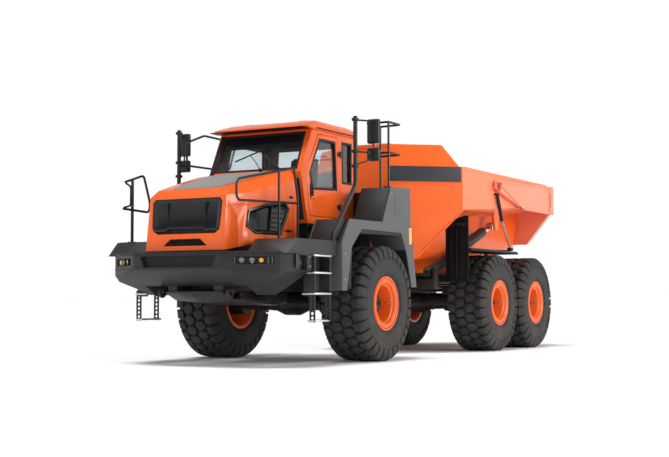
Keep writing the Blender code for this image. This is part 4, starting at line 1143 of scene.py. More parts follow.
    def build(self, bench: Bench) -> None:
        """Builds the bumper and what stands on it."""
        bench.settle(self.shell(bench), "bumper_shell", Paint.BUMPER, FRONT, ("front_bumper",))
        bench.settle(self.lips(), "bumper_lips", Paint.BUMPER, FRONT)
        bench.settle(self.eye(), "towing_eyes", Paint.CHASSIS, FRONT)
        bench.settle(self.panels(), "side_box_panels", Paint.BUMPER, FRONT)
        for side, word in SIDES:
            bench.settle(self.deck_cover(side), f"deck_cover_{word}", Paint.BUMPER, FRONT)
        self.lamps(bench)


@dataclass
class Hood:
    """The engine hood: skin with seams, top panel, framed side vents and the grille."""

    foot: Pair = (-3.10, 1.705)
    brow: Pair = (-3.02, 2.52)
    top_line: Outline = ((-2.92, 2.63), (-2.55, 2.735), (-1.75, 2.94), (-1.275, 3.02))
    side_line: Outline = ((-3.10, 0.71), (-2.55, 0.78), (-1.75, 0.85), (-1.275, 0.85))
    vent: Outline = ((-2.60, 2.08), (-2.40, 1.98), (-1.78, 1.98), (-1.54, 2.38), (-1.66, 2.49), (-2.15, 2.43),
                     (-2.55, 2.32))

    @staticmethod
    def along(line: Outline, y: float) -> float:
        """Reads a (y, value) line at this y."""
        for (y0, v0), (y1, v1) in zip(line, line[1:]):
            if y <= y1:
                return v0 + (v1 - v0) * max(0.0, y - y0) / (y1 - y0)
        return line[-1][1]

    def front_y(self, z: float) -> float:
        """Where the leaning front face is at this height."""
        (y0, z0), (y1, z1) = self.foot, self.brow
        return y0 + (y1 - y0) * (z - z0) / (z1 - z0)

    def skin(self, bench: Bench) -> Item:
        """The hood's skin, with grooves where its panels meet."""
        grooves = []
        for side, _ in SIDES:
            for y, z0, z1 in ((-2.80, 1.6, 2.60), (-1.36, 1.6, 3.2)):
                x = side * self.along(self.side_line, y)
                grooves.append(block((x - 0.010, y - 0.005, z0), (x + 0.010, y + 0.005, z1)))
        return carved(bench.taken("hood", 0.010, 3), *grooves)

    def wrap(self, item: Item, side: int) -> Item:
        """Moves a flat side piece, modelled at x = 0, onto the hood's tapering side."""
        for vertex in item.data.vertices:
            vertex.co.x = side * (vertex.co.x + self.along(self.side_line, vertex.co.y))
        if side < 0:
            item.data.flip_normals()
        return item

    def grown(self, scale: float) -> list[Pair]:
        """The vent's outline scaled about its middle."""
        cy = sum(y for y, _ in self.vent) / len(self.vent)
        cz = sum(z for _, z in self.vent) / len(self.vent)
        return [(cy + (y - cy) * scale, cz + (z - cz) * scale) for y, z in self.vent]

    def vent_frame(self, side: int) -> Item:
        """The vent's gloss frame, its inner face pushed in to leave a sloping rim."""
        item = plate(self.grown(1.035), Axis.X, -0.03, 0.012)
        with editing(item) as mesh:
            pick_faces(item, mesh, lambda face: face.normal.x > 0.9)
            bpy.ops.mesh.inset(thickness=0.035, depth=0.0)
            bpy.ops.mesh.inset(thickness=0.035, depth=-0.035)
        return self.wrap(rounded(item, 0.004), side)

    def vent_slats(self, side: int) -> Item:
        """Louvre blades across the rear of the vent, in a small frame."""
        pieces = []
        for i in range(5):
            z = 2.09 + 0.072 * i
            lean = 0.06 * (z - 1.98) / 0.4
            pieces.append(plate([(-2.02 + lean, z), (-1.76 + lean * 2.2, z), (-1.76 + lean * 2.2, z + 0.012),
                                 (-2.02 + lean, z + 0.012)], Axis.X, -0.025, 0.006, 0.003))
        pieces.append(plate([(-2.06, 2.05), (-2.03, 2.05), (-1.97, 2.42), (-2.00, 2.42)], Axis.X, -0.025, 0.008, 0.003))
        return self.wrap(joined(*pieces), side)

    def top_panel(self) -> Item:
        """The grey panel let into the hood's top, with its rounded border and a shallow dome."""
        rows = [(-2.86, 0.36), (-2.80, 0.42), (-2.55, 0.47), (-1.75, 0.53), (-1.34, 0.55), (-1.30, 0.53)]
        outline = [(x, y) for y, x in rows] + [(-x, y) for y, x in reversed(rows)]
        item = plate(outline, Axis.Z, 0.0, 0.014)
        with editing(item) as mesh:
            pick_faces(item, mesh, lambda face: face.normal.z > 0.9)
            bpy.ops.mesh.inset(thickness=0.03, depth=0.0)
            bpy.ops.mesh.inset(thickness=0.012, depth=-0.006)
        with editing(item):
            for y in (-2.55, -1.75):
                bpy.ops.mesh.select_all(action="SELECT")
                bpy.ops.mesh.bisect(plane_co=(0.0, y, 0.0), plane_no=(0.0, 1.0, 0.0))
        for vertex in item.data.vertices:
            vertex.co.z += self.along(self.top_line, vertex.co.y) - 0.004
        return rounded(item, 0.004)

    def grille_face(self) -> Item:
        """The grille's surround: one dark frame with chamfered corners, sunk towards its mesh."""
        outline = [(-0.575, 2.00), (-0.36, 2.00), (-0.30, 2.035), (0.30, 2.035), (0.36, 2.00), (0.575, 2.00),
                   (0.615, 2.06), (0.630, 2.43), (0.585, 2.485), (-0.585, 2.485), (-0.630, 2.43), (-0.615, 2.06)]
        item = plate(outline, Axis.Y, 0.0, 0.030)
        with editing(item) as mesh:
            pick_faces(item, mesh, lambda face: face.normal.y < -0.9)
            bpy.ops.mesh.inset(thickness=0.030, depth=0.0)
            bpy.ops.mesh.inset(thickness=0.045, depth=-0.022)
        item = rounded(item, 0.004)
        for vertex in item.data.vertices:
            vertex.co.y += self.front_y(vertex.co.z) - 0.006
        return item

    def grille_bars(self) -> Item:
        """Thin bars across the grille, and the mesh of the lower slot."""
        pieces = []
        for i in range(13):
            z = 2.115 + 0.0245 * i
            y = self.front_y(z) + 0.004
            pieces.append(block((-0.52, y, z), (0.52, y + 0.016, z + 0.009), 0.002, 1))
        y = self.front_y(2.26)
        for x in (-0.34, 0.34):
            pieces.append(block((x - 0.006, y - 0.004, 2.10), (x + 0.006, y + 0.02, 2.43), 0.002, 1))
        for i in range(3):
            z = 1.80 + 0.026 * i
            y = self.front_y(z) + 0.012
            half = 0.365 - 1.2 * (z - 1.78)
            pieces.append(block((-half, y, z), (half, y + 0.01, z + 0.008), 0.002, 1))
        y = self.front_y(1.83)
        for i in range(17):
            x = -0.32 + 0.04 * i
            pieces.append(block((x - 0.003, y + 0.014, 1.785), (x + 0.003, y + 0.022, 1.875)))
        return joined(*pieces)

    def trims(self) -> Item:
        """The latch and the small slot behind each vent."""
        pieces = []
        for side, _ in SIDES:
            slot = plate([(-1.66, 2.03), (-1.46, 2.03), (-1.46, 2.07), (-1.66, 2.07)], Axis.X, -0.008, 0.006, 0.003)
            latch = plate([(-1.50, 2.56), (-1.42, 2.56), (-1.42, 2.60), (-1.50, 2.60)], Axis.X, -0.006, 0.012, 0.005)
            pieces += [self.wrap(slot, side), self.wrap(latch, side)]
        return joined(*pieces)

    def build(self, bench: Bench) -> None:
        """Builds the hood's pieces, all of which ride on the hood."""
        bench.settle(self.skin(bench), "hood_skin", Paint.ORANGE, "hood", ("hood",))
        bench.settle(self.top_panel(), "hood_top_panel", Paint.PANEL, "hood")
        bench.settle(self.grille_face(), "grille_frame", Paint.GLOSS, "hood")
        bench.settle(self.grille_bars(), "grille_bars", Paint.PLASTIC, "hood")
        bench.settle(self.trims(), "hood_trims", Paint.PLASTIC, "hood")
        for side, word in SIDES:
            bench.settle(self.vent_frame(side), f"vent_frame_{word}", Paint.GLOSS, "hood")
            bench.settle(self.vent_slats(side), f"vent_slats_{word}", Paint.PLASTIC, "hood")


# ------------------------------------------------------------------ cab


@dataclass
class Cab:
    """The cab: skin, roof, door, seals, wiper, visor band, seat and controls."""

    half: float = 0.88
    floor: float = 2.27
    eaves: Pair = (-0.88, 3.72)
    belt: Pair = (-1.22, 3.02)
    door_window: Outline = ((-0.86, 2.76), (-0.95, 3.02), (-0.64, 3.58), (-0.14, 3.58), (-0.08, 2.80))
    quarter_window: Outline = ((0.12, 2.93), (0.42, 2.93), (0.42, 3.60), (0.10, 3.60))
    right_window: Outline = ((-0.88, 2.80), (-0.62, 3.58), (0.40, 3.58), (0.40, 2.80))
    rear_window: Outline = ((-0.66, 2.90), (0.66, 2.90), (0.62, 3.58), (-0.62, 3.58))

    @staticmethod
    def grown(outline: Outline, share: float) -> list[Pair]:
        """The outline with each corner moved away from the middle by this distance on both axes."""
        middle = [sum(p[i] for p in outline) / len(outline) for i in (0, 1)]
        return [tuple(v + share * math.copysign(1.0, v - m) for v, m in zip(p, middle)) for p in outline]

    def seal(self, outline: Outline, axis: Axis, start: float, end: float) -> Item:
        """A rubber frame round a window opening."""
        item = plate(self.grown(outline, 0.016), axis, start, end)
        hole = plate(self.grown(outline, -0.022), axis, start - 0.05, end + 0.05)
        return rounded(carved(item, hole), 0.004)

    def on_windshield(self, item: Item) -> Item:
        """Leans a piece that was modelled upright, with z measured up the glass from its foot at the belt."""
        (y0, z0), (y1, z1) = self.belt, self.eaves
        lean = math.atan2(y1 - y0, z1 - z0)
        item.data.transform(Matrix.Translation((0.0, y0, z0)) @ Matrix.Rotation(-lean, 4, "X"))
        return item

    def windshield_trim(self) -> tuple[Item, Item]:
        """The seal and the dark sun band across the top of the windshield."""
        height = math.dist(self.belt, self.eaves)
        outline = [(-0.78, 0.05), (0.78, 0.05), (0.76, height - 0.05), (-0.76, height - 0.05)]
        seal = self.seal(outline, Axis.Y, -0.004, 0.018)
        band = plate([(-0.755, height - 0.30), (0.755, height - 0.30), (0.75, height - 0.06), (-0.75, height - 0.06)],
                     Axis.Y, 0.012, 0.019, 0.003)
        return self.on_windshield(seal), self.on_windshield(band)

    def wiper(self) -> Item:
        """The wiper's boss, arm and blade, and its second arm, lying across the windshield."""
        boss = drum((0.12, 0.0, 0.035), (0.12, -0.05, 0.035), 0.028, 18, 0.005)
        arm = tube([(0.12, -0.04, 0.035), (0.06, -0.045, 0.12), (-0.16, -0.032, 0.34)], 0.008, 0.05)
        blade = plate([(-0.44, 0.235), (-0.42, 0.222), (0.14, 0.452), (0.13, 0.468)], Axis.Y, -0.026, -0.006, 0.004)
        second = tube([(0.50, -0.04, 0.035), (0.42, -0.04, 0.10), (0.16, -0.03, 0.30)], 0.007, 0.05)
        return self.on_windshield(joined(boss, arm, blade, second))

    def roof_trims(self) -> Item:
        """The dark visor blade under the roof's front edge, and the gutter strips."""
        blade = plate([(-1.15, 3.738), (-1.13, 3.728), (-0.90, 3.722), (-0.90, 3.738)], Axis.X, -0.93, 0.86, 0.003)
        return joined(blade, *[side_block(side, (0.915, 0.935), (-0.80, 0.50), (3.735, 3.755), 0.005)
                               for side, _ in SIDES])

    def roof_bumps(self) -> Item:
        """Low lamp pads and the aerial's foot on the roof."""
        pad = block((-0.10, -0.06, 0.0), (0.10, 0.06, 0.030), 0.012)
        spots = ((-0.52, -0.52), (0.52, -0.52), (-0.30, 0.30))
        return copies(pad, [Matrix.Translation((x, y, 3.885)) for x, y in spots])

    def door_fittings(self) -> Item:
        """The door's handle with its recess plate, and its hinges with their straps."""
        x = self.half
        outline = [(-0.945, 2.62), (-0.955, 2.80), (-0.90, 2.92), (-0.84, 2.74), (-0.83, 2.62)]
        backing = plate(outline, Axis.X, x - 0.004, x + 0.010, 0.004)
        grip = tube([(x + 0.005, -0.915, 2.66), (x + 0.030, -0.915, 2.67), (x + 0.030, -0.905, 2.80),
                     (x + 0.005, -0.905, 2.81)], 0.010, 0.02)
        hinges = [drum((x + 0.012, 0.03, z), (x + 0.012, 0.03, z + 0.11), 0.013, 16, 0.003) for z in (2.46, 3.34)]
        straps = [block((x - 0.002, -0.06, z + 0.02), (x + 0.010, 0.04, z + 0.09), 0.004) for z in (2.46, 3.34)]
        return joined(backing, grip, *hinges, *straps)

    def base_fittings(self) -> Item:
        """Steps, ribs and bolts on the black base under the door."""
        pieces = []
        for side, _ in SIDES:
            pieces += [side_block(side, (0.855, 0.985), (-0.92, -0.10), (z, z + 0.028), 0.008) for z in (1.93, 2.15)]
            pieces += [side_block(side, (0.855, 0.885), (y, y + 0.03), (1.46, 2.16), 0.006)
                       for y in (-0.90, -0.52, -0.14, 0.30)]
            spots = [(side * 0.862, y, z) for y in (-0.70, -0.32, 0.10) for z in (1.62, 2.06)]
            pieces.append(bolts(spots, (side, 0, 0)))
        return joined(*pieces)

    def cushion(self, low: Point, high: Point, crown: float, channels: int, name: str, bench: Bench) -> None:
        """One padded seat piece, swollen in the middle and pulled in at its seams.

        Args:
            low: the pad's lowest corner.
            high: its highest corner.
            crown: how far the middle of each broad face stands out.
            channels: the sewn channels across it.
            name: the piece's name.
            bench: where it is finished.
        """
        item = block(low, high)
        with editing(item):
            bpy.ops.mesh.select_all(action="SELECT")
            bpy.ops.mesh.subdivide(number_cuts=9)
        middle, half = (Vector(low) + Vector(high)) / 2.0, (Vector(high) - Vector(low)) / 2.0
        for vertex in item.data.vertices:
            u, v, w = ((vertex.co[i] - middle[i]) / half[i] for i in range(3))
            swell = (1.0 - u * u) * (1.0 - (w if half.y < half.z else v) ** 2)
            thin = 1 if half.y < half.z else 2
            vertex.co[thin] += math.copysign(crown * swell, (v, w)[thin - 1])
            groove = abs(math.sin(math.pi * channels * (u + 1.0) / 2.0))
            vertex.co[thin] -= math.copysign(0.010 * (1.0 - groove) ** 4, (v, w)[thin - 1])
            vertex.co.x -= half.x * u * 0.05 * (1.0 - swell) * abs((v, w)[2 - thin])
        item = modified(rounded(item, 0.03, 3, 60.0), "SUBSURF", levels=1)
        bench.settle(item, name, Paint.SEAT, FRONT, angle=80.0)

    def interior(self, bench: Bench) -> None:
        """Floor mat, dashboard, console, column, steering wheel and the seat's frame and pads."""
        f = self.floor
        dash = plate([(-0.90, f + 0.02), (-0.72, f + 0.02), (-0.70, f + 0.50), (-0.78, f + 0.60), (-0.90, f + 0.58)],
                     Axis.X, -0.66, 0.60, 0.02, 3)
        console = plate([(-0.24, f), (0.22, f), (0.24, f + 0.52), (-0.10, f + 0.60), (-0.24, f + 0.54)],
                        Axis.X, 0.36, 0.55, 0.02, 3)
        mat = block((-0.70, -0.80, f), (0.70, 0.36, f + 0.02), 0.006)
        column = tube([(0.02, -0.78, f + 0.48), (0.02, -0.54, f + 0.73)], 0.03, 0.02)
        frame = block((-0.20, -0.10, f), (0.24, 0.20, f + 0.27), 0.02)
        shell = plate([(0.18, f + 0.36), (0.26, f + 0.34), (0.37, f + 1.10), (0.31, f + 1.12)],
                      Axis.X, -0.24, 0.28, 0.02, 3)
        bench.settle(joined(dash, console, mat, column, frame, shell), "cab_fittings", Paint.PLASTIC, FRONT,
                     ("cab_interior",))
        spokes = plate([(-0.19, -0.02), (-0.19, 0.02), (0.19, 0.03), (0.19, -0.03)], Axis.Z, -0.008, 0.008, 0.004)
        wheel = joined(hoop(0.19, 0.016, 10, 40), spokes, drum((0, 0, -0.02), (0, 0, 0.02), 0.06, 24, 0.008))
        wheel.data.transform(Matrix.Translation((0.02, -0.53, f + 0.74)) @ Matrix.Rotation(math.radians(-48), 4, "X"))
        bench.settle(wheel, "steering_wheel", Paint.PLASTIC, FRONT)
        self.cushion((-0.24, -0.26, f + 0.29), (0.28, 0.20, f + 0.40), 0.025, 3, "seat_cushion", bench)
        self.cushion((-0.22, 0.14, f + 0.44), (0.26, 0.24, f + 0.90), 0.025, 3, "seat_back", bench)
        self.cushion((-0.12, 0.18, f + 0.94), (0.16, 0.27, f + 1.12), 0.012, 1, "seat_headrest", bench)

    def build(self, bench: Bench) -> None:
        """Builds the cab's pieces; the door's own ride on the door."""
        x = self.half
        bench.settle(bench.taken("cab_shell", 0.014, 3), "cab_skin", Paint.CAB, FRONT, ("cab_shell",))
        roof = joined(bench.taken("cab_roof", 0.024, 4), self.roof_bumps())
        bench.settle(roof, "roof_cap", Paint.CAB, FRONT, ("cab_roof",))
        bench.settle(bench.taken("cab_door", 0.007), "door_skin", Paint.CAB, "cab_door", ("cab_door",))
        seal, band = self.windshield_trim()
        bench.settle(band, "sun_band", Paint.GLOSS, FRONT)
        seals = [seal, self.seal(self.quarter_window, Axis.X, x - 0.03, x + 0.006),
                 self.seal(self.right_window, Axis.X, -x - 0.006, -x + 0.03),
                 self.seal(self.rear_window, Axis.Y, 0.468, 0.506)]
        bench.settle(joined(*seals), "window_seals", Paint.PLASTIC, FRONT)
        door_seal = self.seal(self.door_window, Axis.X, x - 0.03, x + 0.006)
        bench.settle(door_seal, "door_seal", Paint.PLASTIC, "cab_door")
        bench.settle(self.door_fittings(), "door_fittings", Paint.PLASTIC, "cab_door")
        pillar = plate([(-0.872, 0.0), (-0.785, 0.0), (-0.765, 0.75), (-0.852, 0.75)], Axis.Y, -0.012, 0.004, 0.005)
        bench.settle(self.on_windshield(pillar), "pillar_cover", Paint.PLASTIC, FRONT)
        bench.settle(self.wiper(), "wipers", Paint.TUBE, FRONT)
        bench.settle(self.roof_trims(), "roof_trims", Paint.PLASTIC, FRONT)
        bench.settle(self.base_fittings(), "cab_base_fittings", Paint.CHASSIS, FRONT)
        self.interior(bench)


# ------------------------------------------------------------------ rails, mirrors, steps


@dataclass
class Access:
    """Handrails, mirrors and the steps under the decks."""

    deck: float = 1.88
    thin: float = 0.019

    @staticmethod
    def foot(x: float, y: float, z: float) -> Item:
        """A rail's bolted foot plate."""
        pad = block((x - 0.05, y - 0.05, z), (x + 0.05, y + 0.05, z + 0.012), 0.004)
        spots = [(x + a, y + b, z + 0.012) for a in (-0.035, 0.035) for b in (-0.035, 0.035)]
        return joined(pad, bolts(spots, (0, 0, 1), 0.008))

    def front_left(self) -> Item:
        """The long hand loop beside the hood, with its middle post."""
        x, d = 0.99, self.deck
        loop = tube([(x, -1.50, d), (x, -1.50, 2.55), (x, -1.62, 3.02), (x, -3.14, 2.73), (x, -3.20, 2.66),
                     (x, -3.20, 2.48), (x, -3.14, 2.42), (x, -1.50, 2.48)], self.thin, 0.07)
        post = tube([(x, -2.05, d), (x, -2.05, 2.935)], self.thin)
        return joined(loop, post, self.foot(x, -1.50, d), self.foot(x, -2.05, d))

    def front_right(self) -> Item:
        """The short hoop on the far deck."""
        x, d = -1.40, self.deck
        ring = tube([(x, -2.74, 2.82), (x, -2.28, 2.96), (x, -2.11, 2.52), (x, -2.14, 2.38), (x, -2.78, 2.40)],
                    self.thin, 0.06)
        inner = tube([(x, -2.72, 2.80), (x, -2.60, 2.76), (x, -2.60, 2.46), (x, -2.76, 2.42)], 0.015, 0.05)
        return joined(ring, inner, tube([(x, -2.56, d), (x, -2.56, 2.88)], 0.024), self.foot(x, -2.56, d))

    def rear(self, side: int) -> Item:
        """The guard rails on a fender box: two rings on the left, one long loop on the right."""
        x, y, z = side * 1.64, 0.32, 2.845
        if side > 0:
            far = 1.24
            rings = [tube([(far, y, h), (x, y, h), (x, 0.74, h), (far, 0.80, h)], self.thin, 0.03)
                     for h in (3.42, 3.928)]
            posts = [tube([(x, y, z), (x, y, 3.93)], self.thin),
                     tube([(far, 0.80, z + 0.02), (far, 0.80, 3.93)], self.thin)]
            return joined(*rings, *posts, self.foot(x - 0.02, y, z), self.foot(far, 0.80, z))
        loop = tube([(x, -0.76, 3.27), (x, -0.80, 3.32), (x, -0.80, 3.66), (x, -0.30, 3.835), (x, 0.70, 3.815),
                     (x, 0.48, 3.31), (x, 0.32, 3.28), (x, -0.60, 3.27)], self.thin, 0.05, True)
        return joined(loop, tube([(x, y, z), (x, y, 3.83)], self.thin), self.foot(x + 0.02, y, z))

    def mirror_post(self, side: int) -> Item:
        """The bent post on the deck's rear corner, with its foot, its arms, its clamps and a stay."""
        foot, post, arm = side * 1.58, side * 1.70, side * 1.84
        pieces = [tube([(foot, -1.45, self.deck), (foot, -1.45, 1.98), (post, -0.94, 2.78), (post, -0.94, 3.86)],
                       0.034, 0.08, sides=5)]
        for z in (3.80, 3.30):
            pieces.append(tube([(post, -0.94, z), (arm, -0.72, z), (arm, -0.60, z - 0.02)], 0.014, 0.05))
        pieces.append(tube([(arm, -0.60, 3.80), (arm, -0.60, 3.20)], 0.014))
        for z in (3.28, 3.78, 3.05):
            pieces.append(block((post - 0.045, -0.985, z), (post + 0.045, -0.895, z + 0.05), 0.010))
        pieces.append(block((foot - 0.06, -1.51, self.deck), (foot + 0.06, -1.39, self.deck + 0.014), 0.004))
        pieces.append(tube([(post, -0.94, 3.10), (side * 1.79, -0.79, 3.15), (arm, -0.61, 3.22)], 0.012, 0.05))
        return joined(*pieces)

    def mirror(self, side: int, z0: float, z1: float) -> tuple[Item, Item]:
        """A mirror's rounded housing and its glass.

        Args:
            side: 1 on the left and -1 on the right.
            z0: the housing's foot.
            z1: its top.

        Returns:
            The housing and the reflecting face.
        """
        xs = sorted((side * 1.735, side * 1.945))
        shell = block((xs[0], -0.635, z0), (xs[1], -0.54, z1), 0.028, 4)
        with editing(shell) as mesh:
            pick_faces(shell, mesh, lambda face: face.normal.y > 0.95 and face.calc_area() > 0.01)
            bpy.ops.mesh.inset(thickness=0.012, depth=-0.010)
        face = block((xs[0] + 0.035, -0.552, z0 + 0.035), (xs[1] - 0.035, -0.546, z1 - 0.035), 0.002)
        return shell, face

    def ladder(self, side: int) -> tuple[Item, Item]:
        """The side steps: black stringers with hanging perforated straps, and aluminium treads.

        Args:
            side: 1 on the left and -1 on the right.

        Returns:
            The stringers with their straps, and the treads.
        """
        front, rear, outer = -2.13, -1.62, side * 1.61
        stringers, treads = [], []
        left, right = sorted((side * 1.44, side * 1.655))
        for y in (front + 0.012, rear - 0.042):
            stringers.append(plate([(y, 1.64), (y + 0.03, 1.64), (y + 0.03, 1.04), (y, 1.04)],
                                   Axis.X, left + 0.02, right, 0.006))
            strap = plate([(outer - 0.052, 0.655), (outer + 0.048, 0.655), (outer + 0.048, 1.12),
                           (outer - 0.052, 1.12)], Axis.Y, y + 0.008, y + 0.022, 0.003)
            holes = [drum((outer - 0.002, y - 0.01, z), (outer - 0.002, y + 0.04, z), 0.024, 12)
                     for z in (0.72 + 0.065 * i for i in range(6))]
            stringers.append(carved(strap, joined(*holes)))
            stringers.append(bolts([(side * 1.656, y + 0.015, z) for z in (1.12, 1.34, 1.58)], (side, 0, 0), 0.010))
        for z, reach in ((1.632, 1.665), (1.375, 1.665), (1.065, 1.665), (0.662, 1.645)):
            xs = sorted((side * (1.44 if z > 1.0 else 1.53), side * reach))
            tread = block((xs[0], front, z), (xs[1], rear, z + 0.026), 0.006)
            teeth = block((-0.004, -0.006, 0.0), (0.004, 0.006, 0.008), 0.002, 1)
            grid = [Matrix.Translation((xs[0] + 0.03 + 0.04 * i, front + 0.03 + 0.041 * j, z + 0.025))
                    for i in range(int((xs[1] - xs[0] - 0.04) / 0.04) + 1) for j in range(12)]
            treads += [tread, copies(teeth, grid)]
        return joined(*stringers), joined(*treads)

    def build(self, bench: Bench) -> None:
        """Builds the rails, the mirrors and the steps."""
        bench.settle(self.front_left(), "hood_rail_left", Paint.TUBE, FRONT, ("front_rail_left",))
        bench.settle(self.front_right(), "deck_rail_right", Paint.TUBE, FRONT, ("front_rail_right",))
        for side, word in SIDES:
            bench.settle(self.rear(side), f"guard_rail_{word}", Paint.TUBE, FRONT, (f"rear_rail_{word}",))
            large, small = self.mirror(side, 3.455, 3.845), self.mirror(side, 3.18, 3.385)
            post = joined(self.mirror_post(side), large[0], small[0])
            bench.settle(post, f"mirror_stand_{word}", Paint.TUBE, FRONT, (f"mirror_post_{word}",))
            bench.settle(joined(large[1], small[1]), f"mirror_faces_{word}", Paint.MIRROR, FRONT)
            stringers, treads = self.ladder(side)
            bench.settle(stringers, f"step_frame_{word}", Paint.BUMPER, FRONT, (f"ladder_{word}",))
            bench.settle(treads, f"step_treads_{word}", Paint.TREAD, FRONT)


# ------------------------------------------------------------------ fenders, load body, tailgate, chassis


@dataclass
class Fenders:
    """The front fenders with their dark arch lips, sloping box fronts, hatches and reflectors."""

    inner: float = 1.08
    outer: float = 1.70
    lip: Outline = ((-1.14, 1.16), (-1.10, 1.83), (-0.92, 2.10), (0.80, 2.12), (0.95, 1.80), (1.08, 1.20),
                    (1.04, 1.20), (0.86, 1.76), (0.74, 2.05), (-0.90, 2.03), (-1.02, 1.80), (-1.06, 1.16))

    def build(self, bench: Bench) -> None:
        """Builds both fenders."""
        for side, word in SIDES:
            node = f"fender_{word}"
            bench.settle(bench.taken(node, 0.016, 3), f"{node}_shell", Paint.FENDER, FRONT, (node,))
            lip = side_plate(side, self.lip, self.inner + 0.01, self.outer - 0.012)
            front = side_plate(side, [(-0.052, 2.26), (-0.030, 2.26), (0.275, 2.825), (0.255, 2.84)], 1.165, 1.685)
            fold = side_plate(side, [(-1.375, 1.86), (-1.362, 1.86), (-1.124, 2.235), (-1.135, 2.245)], 1.11, 1.68)
            bench.settle(joined(lip, front, fold), f"{node}_lip", Paint.PLASTIC, FRONT)
            strip = side_plate(side, [(0.955, 1.92), (1.055, 1.92), (1.045, 2.20), (0.945, 2.20)], 1.695, 1.706, 0.002)
            bench.settle(strip, f"{node}_reflector", Paint.AMBER, FRONT)
            spots = [(side * 1.702, y, z)
                     for y, z in ((-1.28, 1.30), (-1.28, 1.70), (0.98, 2.30), (0.98, 2.74), (0.30, 2.74))]
            hatch = side_plate(side, [(0.42, 2.36), (0.42, 2.74), (0.92, 2.76), (0.92, 2.36)], 1.699, 1.704, 0.002)
            bench.settle(bolts(spots, (side, 0, 0), 0.011), f"{node}_bolts", Paint.STEEL, FRONT)
            bench.settle(hatch, f"{node}_hatch", Paint.FENDER, FRONT)


@dataclass
class LoadBody:
    """The load body: shell, rim flanges, the blank dark bands on its angled front plates and its chains."""

    fold: Pair = (1.597, 3.42)
    nose: Pair = (0.515, 2.52)
    band_z: Pair = (3.185, 3.465)
    rail_z: float = 3.47

    def band(self, side: int) -> Item:
        """The dark band: a thin plate lying on the angled front plate."""
        way = Vector((self.fold[0] - self.nose[0], self.fold[1] - self.nose[1], 0.0))
        out = Vector((way.y, -way.x, 0.0)).normalized()
        (low, high), end = self.band_z, way.length - 0.012
        item = plate([(0.02, low), (end, low), (end, high), (0.02, high)], Axis.Y, 0.0, 0.006, 0.002)
        turn = Matrix((way.normalized(), -out, Vector((0, 0, 1)))).transposed().to_4x4()
        item.data.transform(Matrix.Translation((*self.nose, 0.0)) @ Matrix.Translation(out * 0.007) @ turn)
        if side < 0:
            item.data.transform(Matrix.Diagonal((-1.0, 1.0, 1.0, 1.0)))
            item.data.flip_normals()
        return item

    def flanges(self) -> Item:
        """The folded rims and the seams along the sides, and the headboard's top edge."""
        pieces = []
        for side, _ in SIDES:
            heights = (self.rail_z - 0.05, self.rail_z + 0.012)
            pieces.append(side_block(side, (1.50, 1.606), (3.52, 7.97), heights, 0.010))
            pieces.append(side_block(side, (1.598, 1.606), (3.56, 7.95), (2.872, 2.892), 0.003))
        pieces.append(block((-0.55, 2.515, 3.80), (0.55, 2.60, 3.882), 0.010))
        return joined(*pieces)

    def chain(self, side: int) -> tuple[Item, Item]:
        """The tailgate chain against the body's side: a rubber sleeve, then links down to their bracket.

        Args:
            side: 1 on the left and -1 on the right.

        Returns:
            The sleeve with the bracket, and the links.
        """
        top, knee = Vector((side * 1.655, 5.00, 3.08)), Vector((side * 1.645, 5.27, 2.55))
        low = Vector((side * 1.58, 5.86, 2.03))
        sleeve = drum(top, knee, 0.036, 18, 0.01)
        ring = hoop(0.021, 0.008, 8, 20)
        for vertex in ring.data.vertices:
            vertex.co.x *= 1.45
        way = low - knee
        count = int(way.length / 0.044)
        turn = way.to_track_quat("X", "Z").to_matrix().to_4x4()
        places = [Matrix.Translation(knee + way * ((i + 0.5) / count)) @ turn
                  @ Matrix.Rotation(math.pi / 2 * (i % 2), 4, "X") for i in range(count)]
        bracket = block((low.x - 0.05, low.y - 0.05, low.z - 0.05), (low.x + 0.05, low.y + 0.06, low.z + 0.01), 0.01)
        reach = side_block(side, (0.80, 1.59), (5.82, 5.90), (1.975, 2.005), 0.006)
        tab = side_block(side, (1.59, 1.655), (top.y - 0.03, top.y + 0.03), (top.z - 0.03, top.z + 0.01), 0.006)
        return joined(sleeve, bracket, reach, tab), copies(ring, places)

    def ribs(self) -> Item:
        """The round edge bars low on the bow, and the hinge collars."""
        pieces = []
        for side, _ in SIDES:
            pieces.append(tube([(side * 0.94, 2.87, 1.78), (side * 1.605, 3.45, 2.66)], 0.016, 0.02))
            pieces.append(drum((side * 0.55, 7.15, 1.45), (side * 0.70, 7.15, 1.45), 0.125, 28, 0.012))
        return joined(*pieces)

    def build(self, bench: Bench) -> None:
        """Builds the load body's pieces, all of which tip with it."""
        bench.settle(bench.taken("dump_body", 0.012), "load_shell", Paint.LOAD, "dump_body", ("dump_body",))
        bench.settle(self.flanges(), "load_flanges", Paint.LOAD, "dump_body")
        bench.settle(self.ribs(), "load_ribs", Paint.LOAD, "dump_body")
        for side, word in SIDES:
            bench.settle(self.band(side), f"load_band_{word}", Paint.BAND, "dump_body")
            sleeve, links = self.chain(side)
            bench.settle(sleeve, f"chain_sleeve_{word}", Paint.PLASTIC, "dump_body")
            bench.settle(links, f"chain_links_{word}", Paint.STEEL, "dump_body")


